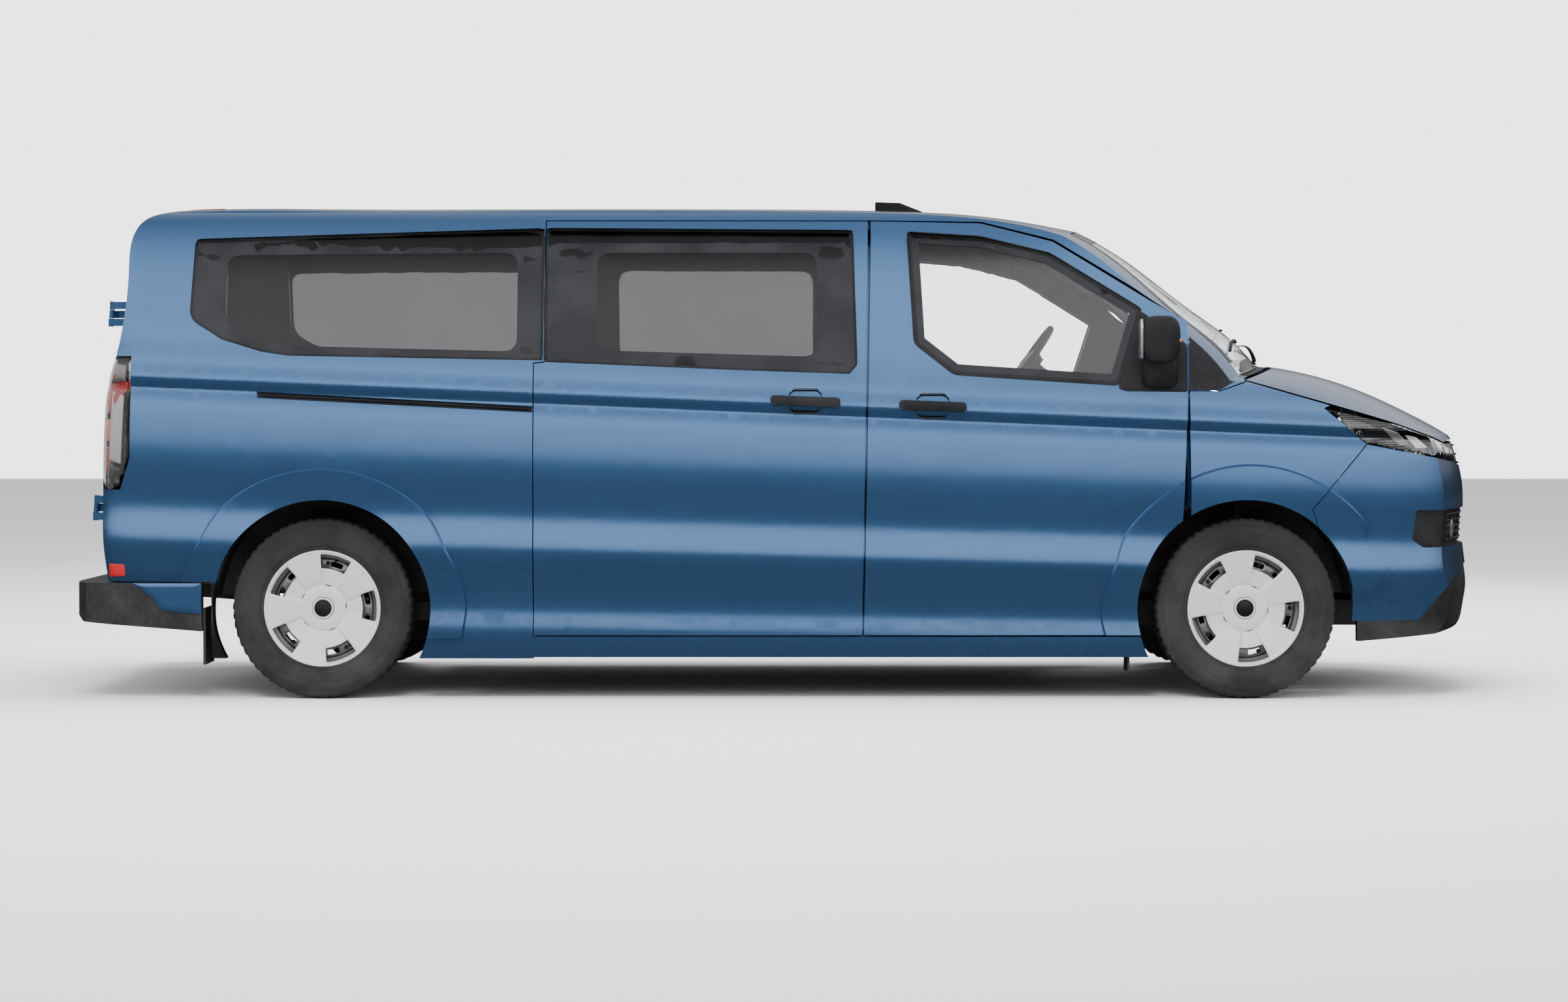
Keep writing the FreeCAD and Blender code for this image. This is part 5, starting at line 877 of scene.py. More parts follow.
def make_wheel(end, name, side):
    """Cover with five windows, hub cap, and the slotted steel wheel with its bolts behind it."""
    spot = wheel_spot(end, name, side)
    body = f"{end}_{name}_wheel"
    turn = math.radians(75 if end == "rear" else 63)
    rings = []
    for radius, out in COVER_LINE:
        ring = []
        for sector in range(5):
            for a in WINDOW_ANGLES:
                sunk = 0.0
                if PANEL_IN <= radius <= PANEL_OUT:
                    edge = max(0.0, min(1.0, (PANEL_HALF + 3 - abs(a)) / 3))
                    run = max(0.0, min(1.0, (radius - PANEL_IN) / 0.045))
                    sunk = edge * (0.0035 + 0.0045 * run)
                ridge = 0.0016 * math.exp(-((abs(a) - 20.5) / 2.2) ** 2) if 0.092 < radius < 0.206 else 0.0
                swell = 0.0
                if abs(a) > 22 and radius > 0.1:
                    swell = 0.0022 * math.cos(math.radians((36 - abs(a)) * 4.0))
                angle = turn + math.radians(sector * 72 + a)
                ring.append(spot(radius, angle, out - sunk + ridge + swell))
        rings.append(ring)
    points, faces = lofted(rings)
    across = len(WINDOW_ANGLES) * 5
    kept = []
    for face in faces:
        row, column = face[0] // across, (face[0] % across) % len(WINDOW_ANGLES)
        inner, outer = COVER_LINE[row][0], COVER_LINE[row + 1][0]
        a, b = WINDOW_ANGLES[column], WINDOW_ANGLES[(column + 1) % len(WINDOW_ANGLES)]
        if inner >= WINDOW_IN and outer <= WINDOW_OUT and a >= -WINDOW_HALF and b <= WINDOW_HALF and b > a:
            continue
        slit = 0.0870 <= inner < 0.0880 and a >= -8 and b <= 10 and b > a
        if not slit:
            kept.append(face)
    cover = piece_from(f"wheel_cover_{end}_{name}", points, kept, "silver", body, "wheel_silver", 50)
    thick = cover.modifiers.new("thickness", "SOLIDIFY")
    thick.thickness = 0.0032
    thick.offset = -1
    soft = cover.modifiers.new("rounding", "SUBSURF")
    soft.levels = soft.render_levels = 1
    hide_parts(f"wheel_{end}_{name}")
    cap_line = [(0.0405, 0.0690), (0.0405, 0.0728), (0.0385, 0.0738), (0.0345, 0.0736), (0.0330, 0.0720)]
    ring_part = turned(cap_line, spot, 48)
    piece_from(f"hub_ring_{end}_{name}", *ring_part, "silver", body, "wheel_silver", 40)
    boss_line = [(0.0335, 0.0690), (0.0325, 0.0722), (0.0295, 0.0728), (0.0285, 0.0712), (0.0250, 0.0718),
                 (0.0180, 0.0742), (0.0090, 0.0758), (0.0002, 0.0762)]
    boss = turned(boss_line, spot, 48, cap_end=True)
    piece_from(f"hub_cap_{end}_{name}", *boss, "dark_metal", body, "wheel_silver", 40)
    # Steel wheel behind the cover: drop well, disc with slots
    barrel_line = [(0.2140, 0.0880), (0.2120, 0.0860), (0.2070, 0.0700), (0.1950, 0.0600), (0.1900, 0.0300),
                   (0.1900, -0.0500), (0.2070, -0.0700), (0.2140, -0.0880), (0.2200, -0.0905)]
    barrel = turned(barrel_line, spot, 72)
    disc_line = [(0.1915, 0.0420), (0.1860, 0.0500), (0.1800, 0.0530), (0.1700, 0.0550), (0.1600, 0.0540),
                 (0.1480, 0.0500), (0.1250, 0.0400), (0.1000, 0.0350), (0.0600, 0.0330), (0.0340, 0.0330)]
    disc_points, disc_faces = turned(disc_line, spot, 72)
    slots = []
    for face in disc_faces:
        row, column = face[0] // 72, face[0] % 72
        if row in (2, 3) and column % 6 in (1, 2, 3):
            continue
        slots.append(face)
    wheel_part = merged([barrel, (disc_points, slots)])
    steel = piece_from(f"steel_wheel_{end}_{name}", *wheel_part, "rim", body, "wheel_silver", 40,
                       solid=0.003)
    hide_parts(f"wheel_{end}_{name}")
    bolts = []
    for k in range(5):
        a = turn + math.radians(72 * k + 9)
        for r, size in ((0.060, 0.011), (0.172, 0.0085)):
            centre = spot(r, a, 0.030 if r < 0.1 else 0.050)
            way = Vector((0, side, 0))
            hexagon = [Vector((c, 0, s)) for c, s in disc(0, 0, 1, 6)]
            rings = [[centre + way * h + corner * w for corner in hexagon]
                     for h, w in ((0, size), (0.014, size), (0.018, size * 0.8))]
            bolts.append(lofted(rings, cap_end=True))
    valve = rod([spot(0.188, turn, 0.045), spot(0.184, turn, 0.070)], [0.0045, 0.0035], 8)
    bolts.append(valve)
    piece_from(f"wheel_bolts_{end}_{name}", *merged(bolts), "dark_metal", body, "wheel_silver", 30)


# Glass surrounds
FRONT_GLASS = [(B_LINE + 0.156, HEAD - 0.044), (B_LINE + 0.435, HEAD - 0.062),
               (FRONT_AXLE - 0.739, HEAD - 0.125), (FRONT_AXLE - 0.390, HEAD - 0.340),
               (FRONT_AXLE - 0.480, BELT - 0.052), (B_LINE + 0.330, BELT - 0.011),
               (B_LINE + 0.180, BELT + 0.107)]
SLIDING_GLASS = [(C_LINE + 0.041, BELT + 0.036), (C_LINE + 0.041, HEAD - 0.030),
                 (B_LINE - 0.054, HEAD - 0.038), (B_LINE - 0.038, BELT + 0.024),
                 (B_LINE - 0.066, BELT - 0.009), (B_LINE - 0.500, BELT + 0.006)]
SLIDING_OPENING = [(C_LINE + 0.230, BELT + 0.075), (C_LINE + 0.230, HEAD - 0.118),
                   (B_LINE - 0.184, HEAD - 0.118), (B_LINE - 0.184, BELT + 0.050)]
QUARTER_GLASS = [(REAR_AXLE - 0.503, BELT + 0.219), (REAR_AXLE - 0.489, HEAD - 0.073),
                 (C_LINE + 0.032, HEAD - 0.031), (C_LINE + 0.032, BELT + 0.042),
                 (REAR_AXLE - 0.127, BELT + 0.060), (REAR_AXLE - 0.229, BELT + 0.075),
                 (REAR_AXLE - 0.382, BELT + 0.122), (REAR_AXLE - 0.485, BELT + 0.189)]
QUARTER_OPENING = [(REAR_AXLE - 0.375, BELT + 0.190), (REAR_AXLE - 0.375, HEAD - 0.128),
                   (C_LINE - 0.060, HEAD - 0.118), (C_LINE - 0.060, BELT + 0.070),
                   (REAR_AXLE - 0.150, BELT + 0.092), (REAR_AXLE - 0.300, BELT + 0.135)]


def seal_steps(width):
    """Cross-section of a rubber seal that covers the edge of a pane."""
    return [(-0.0035, -0.001), (-0.0035, 0.0022), (-0.001, 0.0030), (0.003, 0.0026), (width * 0.6, 0.0032),
            (width, 0.0030), (width + 0.001, 0.0002)]


def make_side_glass(name, side):
    """Ceramic borders over the privacy glass and seals round every side pane."""
    panes = on_side(tree_of("side_glass"), side)
    width = sizes().seal_width
    for label, glass_line, opening in (("sliding", SLIDING_GLASS, SLIDING_OPENING),
                                       ("quarter", QUARTER_GLASS, QUARTER_OPENING)):
        outer = rounded_loop(glass_line, 0.004, 0.02, 3, 0.06)
        inner = rounded_loop(opening, 0.006, 0.06, 6, 0.06)
        border = sheet_between(outer, inner, panes, 0.0006)
        piece_from(f"glass_border_{label}_{name}", *border, "frit", "chassis", "window_glass", 60)
        steps = [(-0.002, 0.0), (-0.002, 0.0012), (0.001, 0.0024), (0.006, 0.0022), (0.008, 0.0005)]
        seal = shaped(glass_line, steps, panes, 0.02)
        piece_from(f"glass_seal_{label}_{name}", *seal, "seal", "chassis", "trim_black", 60)
    door = f"{name}_front_door"
    front = on_side(tree_of(f"front_glass_{name}"), side)
    inner = rounded_loop(FRONT_GLASS, 0.040, 0.012, 4, 0.06)
    outer = rounded_loop(FRONT_GLASS, 0.003, 0.02, 4, 0.06)
    border = sheet_between(outer, inner, front, 0.0006)
    piece_from(f"glass_border_front_{name}", *border, "frit", door, "window_glass", 60)
    seal = shaped(FRONT_GLASS, seal_steps(width), front, 0.02)
    piece_from(f"glass_seal_front_{name}", *seal, "seal", door, "trim_black", 60)


def make_rear_glass(name, side):
    """Border and seal of one rear pane."""
    glass_line = [(0.066, BELT + 0.004), (0.780, BELT + 0.004), (0.708, HEAD - 0.072), (0.066, HEAD - 0.062)]
    glass_line = [(side * y, z) for y, z in glass_line]
    pane = on_end(tree_of(f"rear_glass_{name}"), -1)
    body = f"{name}_rear_door"
    outer = rounded_loop(glass_line, 0.003, 0.03, 4, 0.06)
    inner = rounded_loop(glass_line, 0.042, 0.05, 6, 0.06)
    piece_from(f"glass_border_rear_{name}", *sheet_between(outer, inner, pane, 0.0006), "frit", body,
               "window_glass", 60)
    steps = [(-0.003, -0.001), (-0.003, 0.002), (0.0, 0.0034), (0.006, 0.003), (0.009, 0.0006)]
    seal = shaped(glass_line, steps, pane, 0.03)
    piece_from(f"glass_seal_rear_{name}", *seal, "seal", body, "trim_black", 60)


def make_windscreen():
    """Dark border and seal round the windscreen."""
    tree = tree_of("windscreen")
    low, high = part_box("windscreen")

    def meets(y, z):
        return tree.ray_cast(Vector((3.2, y, z)), Vector((-1, 0, 0)))[0] is not None

    def last_met(test, inside, outside):
        """Where the pane ends between a value on it and one past it."""
        for _ in range(10):
            between = (inside + outside) / 2
            if test(between):
                inside = between
            else:
                outside = between
        return inside

    def spot(y, t, height):
        """y across, t from the cowl (0) to the header (1)."""
        z_low, z_high = edge_heights(y)
        return on_screen(y, z_low + (z_high - z_low) * t, height)

    def edge_heights(y):
        step = (high[2] - low[2]) / 60
        spans = [low[2] + step * (k + 0.5) for k in range(60) if meets(y, low[2] + step * (k + 0.5))]
        foot = last_met(lambda z: meets(y, z), min(spans), min(spans) - step)
        head = last_met(lambda z: meets(y, z), max(spans), max(spans) + step)
        return foot + 0.001, head - 0.001

    def on_screen(y, z, height):
        hit = tree.ray_cast(Vector((3.2, y, z)), Vector((-1, 0, 0)))[0]
        if hit is None:
            hit = tree.find_nearest(Vector((1.6, y, z)))[0]
        return hit + Vector((0.6, 0, 0.8)) * height

    def side_edge(z):
        """Half width of the windscreen at a height."""
        return last_met(lambda y: meets(y, z), 0.0, high[1] + 0.01)

    half = (high[1] - low[1]) / 2 - 0.06
    columns = [-half + 2 * half * k / 40 for k in range(41)]
    cowl = [[spot(y, t, 0.0012) for y in columns] for t in (0.0, 0.035, 0.07)]
    head = [[spot(y, t, 0.0012) for y in columns] for t in (0.93, 0.965, 1.0)]
    strips = [lofted(cowl, closed=False), lofted(head, closed=False)]
    heights = [low[2] + 0.03 + (high[2] - low[2] - 0.06) * k / 24 for k in range(25)]
    for _, side in SIDES:
        rows = []
        for z in heights:
            edge = side_edge(z)
            rows.append([on_screen(inset - edge, z, 0.0012) for inset in (0.001, 0.018, 0.034)])
        strips.append(flipped(lofted(rows, closed=False), side))
    piece_from("windscreen_border", *merged(strips), "frit", "chassis", "window_glass", 60)
    rim = faces_of("windscreen", lambda centre, normal: abs(normal.x * 0.67 + normal.z * 0.74) < 0.6)
    piece_from("windscreen_seal", *rim, "seal", "chassis", "trim_black", 50, solid=0.003)


# Grips, sliding door track and mirror sails
def make_grips(name, side):
    for label, body, node, x_from, x_to, z_rear, z_front in (
            ("front", f"{name}_front_door", f"front_door_{name}", FRONT_AXLE - 1.314, FRONT_AXLE - 1.060,
             1.115, 1.105),
            ("sliding", "chassis", f"sliding_door_{name}", B_LINE - 0.366, B_LINE - 0.102, 1.133, 1.123)):
        door = on_side(tree_of(node), side)
        proud = sizes().grip_proud

        def base(x):
            """On the face of the CAD grip, or level with its end."""
            t = (x - x_from) / (x_to - x_from)
            z = z_rear + (z_front - z_rear) * t
            face = door(min(max(x, x_from + 0.016), x_to - 0.016), z)
            return Vector((x, face.y - side * 0.020, z))

        rings = []
        count = 26
        for k in range(count + 1):
            t = k / count
            x = x_from + (x_to - x_from) * t
            end = min(t, 1 - t) * (x_to - x_from)
            swell = math.sqrt(max(0.0, 1 - (1 - min(1.0, end / 0.008)) ** 2))
            half = 0.0190 * max(0.55, swell)
            out = proud * max(0.90, swell) + 0.0015 * math.sin(math.pi * t)
            centre = base(x)
            ring = []
            for u, v in ((-1, -0.1), (-1, 0.78), (-0.90, 0.93), (-0.4, 1.0), (0.4, 1.0), (0.90, 0.93),
                         (1, 0.78), (1, -0.1)):
                ring.append(centre + Vector((0, side * out * v, half * u)))
            rings.append(ring)
        bar = lofted(rings, cap_start=True, cap_end=True)
        piece_from(f"grip_{label}_{name}", *bar, "plastic", body, "trim_black", 45)
        centre_x = (x_from + x_to) / 2
        centre_z = (z_rear + z_front) / 2
        cup_line = [(centre_x - 0.064, centre_z - 0.030), (centre_x - 0.046, centre_z - 0.046),
                    (centre_x + 0.046, centre_z - 0.046), (centre_x + 0.064, centre_z - 0.030),
                    (centre_x + 0.064, centre_z + 0.030), (centre_x + 0.046, centre_z + 0.046),
                    (centre_x - 0.046, centre_z + 0.046), (centre_x - 0.064, centre_z + 0.030)]

        def cup_spot(x, z, height):
            above, below = door(x, centre_z + 0.075), door(x, centre_z - 0.075)
            t = (z - centre_z + 0.075) / 0.15
            return Vector((x, below.y + (above.y - below.y) * t + side * height, z))

        steps = [(-0.003, 0.0), (-0.003, 0.0022), (0.001, 0.0024), (0.004, -0.002), (0.010, -0.0075)]
        cup = shaped(cup_line, steps, cup_spot, 0.016, fill=3)
        piece_from(f"grip_cup_{label}_{name}", *cup, "gloss", body, "trim_black", 50)


def make_side_details(name, side):
    """Track of the sliding door with a dark sheet of painted shade in its slot, painted end of the rear
    quarter and the sail in front of the door glass.
    """
    quarter = on_side(tree_of(f"quarter_panel_{name}"), side)
    track = [(C_LINE - 1.047, 1.143), (C_LINE - 0.006, 1.088), (C_LINE - 0.006, 1.106),
             (C_LINE - 1.047, 1.163)]
    # Painted shade: a black sheet laid in the track's recess, where shade falls.
    track_shade_sheet = shaped(track, [(0.0, 0.0), (0.0, 0.0035), (0.003, 0.0035), (0.005, 0.0015)], quarter, 0.005,
                   fill=2)
    piece_from(f"door_track_{name}", *track_shade_sheet, "seal", "chassis", "trim_black", 50)
    rail_path = [quarter(C_LINE - 1.03 + 1.01 * k / 24, 1.1528 - 0.0534 * k / 24, 0.0075) for k in range(25)]
    piece_from(f"door_track_rail_{name}", *rod(rail_path, 0.0042, 8, 0.8), "gloss", "chassis", "trim_black",
               50)
    bumper = on_side(tree_of("rear_bumper"), side)
    corner = [(TAIL + 0.245, 0.4405), (TAIL + 0.320, 0.386), (TAIL + 0.358, 0.337), (TAIL + 0.506, 0.322),
              (TAIL + 0.506, 0.4405)]
    painted = shaped(corner, [(0.0, -0.002), (0.0, 0.0030), (0.002, 0.0042)], bumper, 0.004, fill=3)
    piece_from(f"quarter_end_{name}", *painted, "paint", "chassis", "body_paint", 45)
    door = on_side(tree_of(f"front_door_{name}"), side)
    sail = [(A_LINE - 0.266, BELT - 0.062), (A_LINE - 0.174, BELT + 0.230), (A_LINE - 0.001, BELT + 0.102),
            (A_LINE - 0.001, BELT - 0.077), (A_LINE - 0.240, BELT - 0.074)]
    cover = shaped(sail, [(0.0, 0.0), (0.0, 0.0036), (0.003, 0.0052)], door, 0.012, fill=4, step=0.03)
    piece_from(f"mirror_sail_{name}", *cover, "plastic", f"{name}_front_door", "trim_black", 45)


# Lamps
def make_headlamps():
    """Clear cover, dark housing and round reflectors of each headlamp."""
    def outer(centre, normal):
        way = Vector((0.75, math.copysign(0.6, centre.y), 0.3))
        return normal.dot(way.normalized()) > 0.42

    cover = faces_of("headlamps", outer)
    lens_piece = piece_from("headlamp_lenses", *cover, "lamp_clear", "chassis", "lamp_lens", 50,
                            solid=0.0025)
    shell = faces_of("headlamps", lambda centre, normal: not outer(centre, normal))
    housing = piece_from("headlamp_housings", *shell, "gloss", "chassis", "trim_black", 40)
    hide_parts("headlamps")
    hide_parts("headlamps")
    tree = tree_of("headlamps")
    for name, side in SIDES:
        front = on_end(tree, 1)
        side_spot = on_side(tree, side)
        for index, (y, z, radius) in enumerate(((0.530, 0.935, 0.030), (0.625, 0.945, 0.037),
                                                (0.725, 0.958, 0.032))):
            circle = [(side * v, w) for v, w in disc(y, z, radius, 12)]
            bowl = shaped(circle, [(0.0, -0.005), (0.002, -0.0035), (0.004, -0.006), (0.012, -0.020),
                                   (0.022, -0.028)], front, 0.004, fill=2, step=0.03, arcs=1)
            piece_from(f"headlamp_bowl_{index}_{name}", *bowl, "bowl", "chassis", "lamp_lens", 50)
            dome = shaped(circle, [(radius * 0.55, -0.027), (radius * 0.62, -0.018),
                                   (radius * 0.78, -0.013)], front,
                          0.004, fill=2, step=0.03, arcs=1)
            piece_from(f"headlamp_bulb_{index}_{name}", *dome, "white_cell", "chassis", "lamp_lens", 60)
        blocks = ((((2.352, 1.000), (2.398, 0.992), (2.446, 0.950), (2.398, 0.948)), "white_cell"),
                  (((2.256, 1.030), (2.322, 1.010), (2.372, 0.962), (2.330, 0.960)), "lamp_grey"))
        for index, (streak, kind) in enumerate(blocks):
            strip = shaped(streak, [(0.0, -0.012), (0.0, -0.006), (0.003, -0.0045)], side_spot, 0.006,
                           fill=2, step=0.03)
            piece_from(f"headlamp_strip_{index}_{name}", *strip, kind, "chassis", "lamp_lens", 50)


HIGH_LAMP_FOOT = 1.7


def make_tail_lamps():
    """Smoked covers over red, white and amber cells; red high lamp."""
    def outer(centre, normal):
        way = Vector((-0.55, math.copysign(0.83, centre.y), 0.05))
        return normal.dot(way.normalized()) > 0.45

    def low(centre, normal):
        return centre.z < HIGH_LAMP_FOOT

    cover = faces_of("rear_lamps", lambda c, n: outer(c, n) and low(c, n))
    lens_piece = piece_from("tail_lamp_lenses", *cover, "lamp_smoke", "chassis", "lamp_lens", 50,
                            solid=0.0025)
    shell = faces_of("rear_lamps", lambda c, n: not outer(c, n) and low(c, n))
    housing = piece_from("tail_lamp_housings", *shell, "gloss", "chassis", "trim_black", 40)
    high = faces_of("rear_lamps", lambda c, n: c.z > HIGH_LAMP_FOOT)
    high_piece = piece_from("high_lamp_lens", *high, "lamp_red", "chassis", "lamp_red", 40)
    for piece in (lens_piece, housing, high_piece):
        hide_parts("rear_lamps")
    tree = tree_of("rear_lamps")
    for name, side in SIDES:
        spot = on_side(tree, side)
        back_x = BACK + 0.050
        cells = (((back_x, 0.905), (BACK + 0.098, 0.890), (BACK + 0.108, 1.150), (back_x + 0.010, 1.172),
                  "lamp_white"),
                 ((back_x + 0.004, 1.195), (BACK + 0.112, 1.180), (BACK + 0.116, 1.262),
                  (back_x + 0.022, 1.272), "lamp_grey"),
                 ((back_x - 0.006, 0.812), (BACK + 0.088, 0.812), (BACK + 0.096, 0.872),
                  (back_x - 0.004, 0.900), "gloss"))
        for index, (*corners, kind) in enumerate(cells):
            block = shaped(corners, [(0.0, -0.024), (0.0, -0.008), (0.003, -0.0055), (0.008, -0.0050)], spot,
                           0.008, fill=2, step=0.03)
            piece_from(f"tail_lamp_cell_{index}_{name}", *block, kind, "chassis", "lamp_red", 45)
        end = on_end(tree, -1)
        for index, (z_from, z_to, kind) in enumerate(((1.080, 1.235, "red_cell"),
                                                      (0.975, 1.060, "amber_cell"),
                                                      (0.850, 0.955, "red_cell"))):
            cell = oblong(side * 0.880, z_from, side * 0.928, z_to)
            block = shaped(cell, [(0.0, -0.022), (0.0, -0.013), (0.004, -0.0095), (0.010, -0.0090)], end,
                           0.010, fill=2, step=0.03)
            piece_from(f"tail_lamp_back_{index}_{name}", *block, kind, "chassis", "lamp_red", 45)


# Mirrors
def make_mirror(name, side):
    """Head with a flat glass at the back, indicator at the front and a foot on the door."""
    body = f"{name}_front_door"
    x0, z0 = A_LINE - 0.117, BELT + 0.120
    rings = []
    for y, rear, front, low, high in ((0.986, 0.060, 0.060, 0.062, 0.066),
                                      (1.000, 0.074, 0.074, 0.080, 0.082),
                                      (1.040, 0.077, 0.078, 0.088, 0.089),
                                      (1.080, 0.077, 0.070, 0.090, 0.090),
                                      (1.110, 0.075, 0.052, 0.086, 0.086),
                                      (1.126, 0.068, 0.020, 0.074, 0.076),
                                      (1.134, 0.052, -0.010, 0.056, 0.058)):
        rings.append([(x0 + x * (front if x > 0 else rear), -y, z0 + z * (high if z > 0 else low))
                      for x, z in rounded_turns(28, 0.55, 0.62)])
    head = flipped(lofted(rings, cap_start=True, cap_end=True), side)
    piece = piece_from(f"mirror_head_{name}", *head, "plastic", body, "trim_black", 60, rounding=1)
    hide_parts(f"mirror_{name}")
    arm = []
    for y, x_mid, z_mid, half_x, half_z in ((0.935, A_LINE - 0.112, BELT - 0.034, 0.070, 0.036),
                                            (0.962, A_LINE - 0.110, BELT - 0.026, 0.069, 0.040),
                                            (0.990, A_LINE - 0.110, BELT + 0.010, 0.066, 0.048),
                                            (1.015, A_LINE - 0.114, BELT + 0.046, 0.056, 0.042)):
        arm.append([(x_mid + x * half_x, -y, z_mid + z * half_z) for x, z in rounded_turns(20, 0.7, 0.7)])
    foot = flipped(lofted(arm, cap_start=True, cap_end=True), side)
    piece_from(f"mirror_foot_{name}", *foot, "plastic", body, "trim_black", 60, rounding=1)
    plate = [(0.998, z0 - 0.070), (1.100, z0 - 0.074), (1.116, z0 - 0.050), (1.116, z0 + 0.052),
             (1.100, z0 + 0.076), (0.998, z0 + 0.070)]

    def back(y, z, height):
        return Vector((x0 - 0.0765 - height, -y, z))

    glass_piece = flipped(shaped(plate, [(0.0, -0.004), (0.0, 0.0012), (0.0015, 0.0016)], back, 0.012,
                                 fill=2), side)
    piece_from(f"mirror_glass_{name}", *glass_piece, "mirror", body, "trim_black", 50)
    rings = []
    for k in range(11):
        t = k / 10
        y = 1.040 + 0.088 * t
        x = x0 + 0.0775 - 0.075 * t ** 2.2
        rings.append([(x + 0.0018, -y - 0.001 * t, z0 - 0.004 + w)
                      for w in (0.007 * (1 - 0.4 * t), -0.007 * (1 - 0.4 * t))])
    strip = flipped(lofted(rings, closed=False), side)
    piece_from(f"mirror_indicator_{name}", *strip, "amber_cell", body, "lamp_lens", 60, solid=0.002)


# Front end, rear end, wipers
def make_front():
    front = on_end(tree_of("front_bumper", "front_trim"), 1)
    bars = []
    for z in (0.598, 0.622, 0.646, 0.670, 0.694):
        path = [front(-0.74 + 1.48 * k / 48, z, 0.006) for k in range(49)]
        bars.append(rod(path, 0.0055, 8, 0.8))
    for k in range(-9, 10):
        y = k * 0.078
        path = [front(y, 0.585 + 0.122 * j / 4, 0.003) for j in range(5)]
        bars.append(rod(path, 0.0035, 6))
    piece_from("intake_grid", *merged(bars), "plastic", "chassis", "trim_black", 50)
    slats = []
    for z in (0.888, 0.922, 0.957):
        path = [front(-0.425 + 0.85 * k / 30, z, 0.0045) for k in range(31)]
        slats.append(rod(path, 0.0050, 8, 0.6))
    piece_from("grille_slats", *merged(slats), "gloss", "chassis", "trim_black", 50)
    plate_line = oblong(-0.262, 0.490, 0.262, 0.562)
    carrier = shaped(plate_line, [(-0.006, 0.0), (-0.006, 0.006), (0.0, 0.007), (0.001, 0.004)], front,
                     0.010, fill=2)
    piece_from("plate_carrier_front", *carrier, "plastic", "chassis", "trim_black", 45)
    plate = shaped(plate_line, [(0.004, 0.004), (0.004, 0.0062), (0.006, 0.0066)], front, 0.008, fill=3)
    piece_from("plate_front", *plate, "plate", "chassis", "trim_black", 45)
    for name, side in SIDES:
        fog = [(side * y, z) for y, z in disc(0.655, 0.640, 0.036, 16)]
        bezel = shaped(fog, [(-0.006, 0.0), (-0.006, 0.012), (0.0, 0.014), (0.004, 0.009)], front, 0.004,
                       fill=2, step=0.03, arcs=1)
        piece_from(f"fog_lamp_bezel_{name}", *bezel, "gloss", "chassis", "trim_black", 45)
        face = shaped(fog, [(0.003, 0.010), (0.006, 0.013), (0.014, 0.016)], front, 0.004, fill=3, step=0.03,
                      arcs=1)
        piece_from(f"fog_lamp_{name}", *face, "bowl", "chassis", "lamp_lens", 60)


def make_rear():
    """Blank plate with its lamp, door pull, reflectors and sensors at the back."""
    doors = on_end(tree_of("rear_door_right", "rear_door_left"), -1)
    bumper = on_end(tree_of("rear_bumper"), -1)
    left = "left_rear_door"
    plate_line = oblong(0.16, 0.655, 0.68, 0.768)
    frame_steps = [(-0.014, 0.0), (-0.014, 0.010), (-0.006, 0.014), (0.0, 0.010), (0.002, 0.003)]
    frame_part = shaped(plate_line, frame_steps, doors, 0.014, fill=2)
    piece_from("plate_surround_rear", *frame_part, "plastic", left, "trim_black", 45)
    plate = shaped(plate_line, [(0.004, 0.003), (0.004, 0.0055), (0.006, 0.006)], doors, 0.008, fill=3)
    piece_from("plate_rear", *plate, "plate", left, "trim_black", 45)
    lamp_line = oblong(0.27, 0.785, 0.57, 0.803)
    lamp = shaped(lamp_line, [(0.0, 0.0), (0.0, 0.012), (0.003, 0.015)], doors, 0.006, fill=1)
    piece_from("plate_lamp", *lamp, "white_cell", left, "lamp_lens", 45)
    pull_line = oblong(-0.205, 0.945, -0.045, 0.985)
    pull_steps = [(-0.010, 0.0), (-0.010, 0.004), (-0.002, 0.005), (0.000, 0.020), (0.006, 0.025)]
    pull = shaped(pull_line, pull_steps, doors, 0.014, fill=2)
    piece_from("rear_pull", *pull, "plastic", "right_rear_door", "trim_black", 45)
    reflectors = []
    sensors = []
    for _, side in SIDES:
        line = oblong(side * 0.60, 0.345, side * 0.80, 0.375)
        reflectors.append(shaped(line, [(0.0, -0.001), (0.0, 0.0035), (0.002, 0.0045)], bumper, 0.006,
                                 fill=2))
        for y in (0.22, 0.56):
            sensors.append(shaped(disc(side * y, 0.405, 0.0125, 12),
                                  [(0.0, -0.001), (0.0, 0.0015), (0.002, 0.002)], bumper, 0.002, fill=1,
                                  step=0.02, arcs=1))
    piece_from("bumper_reflectors", *merged(reflectors), "lamp_red", "chassis", "lamp_red", 45)
    piece_from("parking_sensors", *merged(sensors), "gloss", "chassis", "trim_black", 45)
    for name, side in SIDES:
        spot = on_side(tree_of(f"quarter_panel_{name}"), side)
        line = [(BACK + 0.046, 0.462), (BACK + 0.112, 0.466), (BACK + 0.112, 0.510), (BACK + 0.046, 0.512)]
        marker = shaped(line, [(0.0, -0.001), (0.0, 0.003), (0.002, 0.004)], spot, 0.006, fill=2, step=0.03)
        piece_from(f"side_reflector_{name}", *marker, "lamp_red", "chassis", "lamp_red", 45)


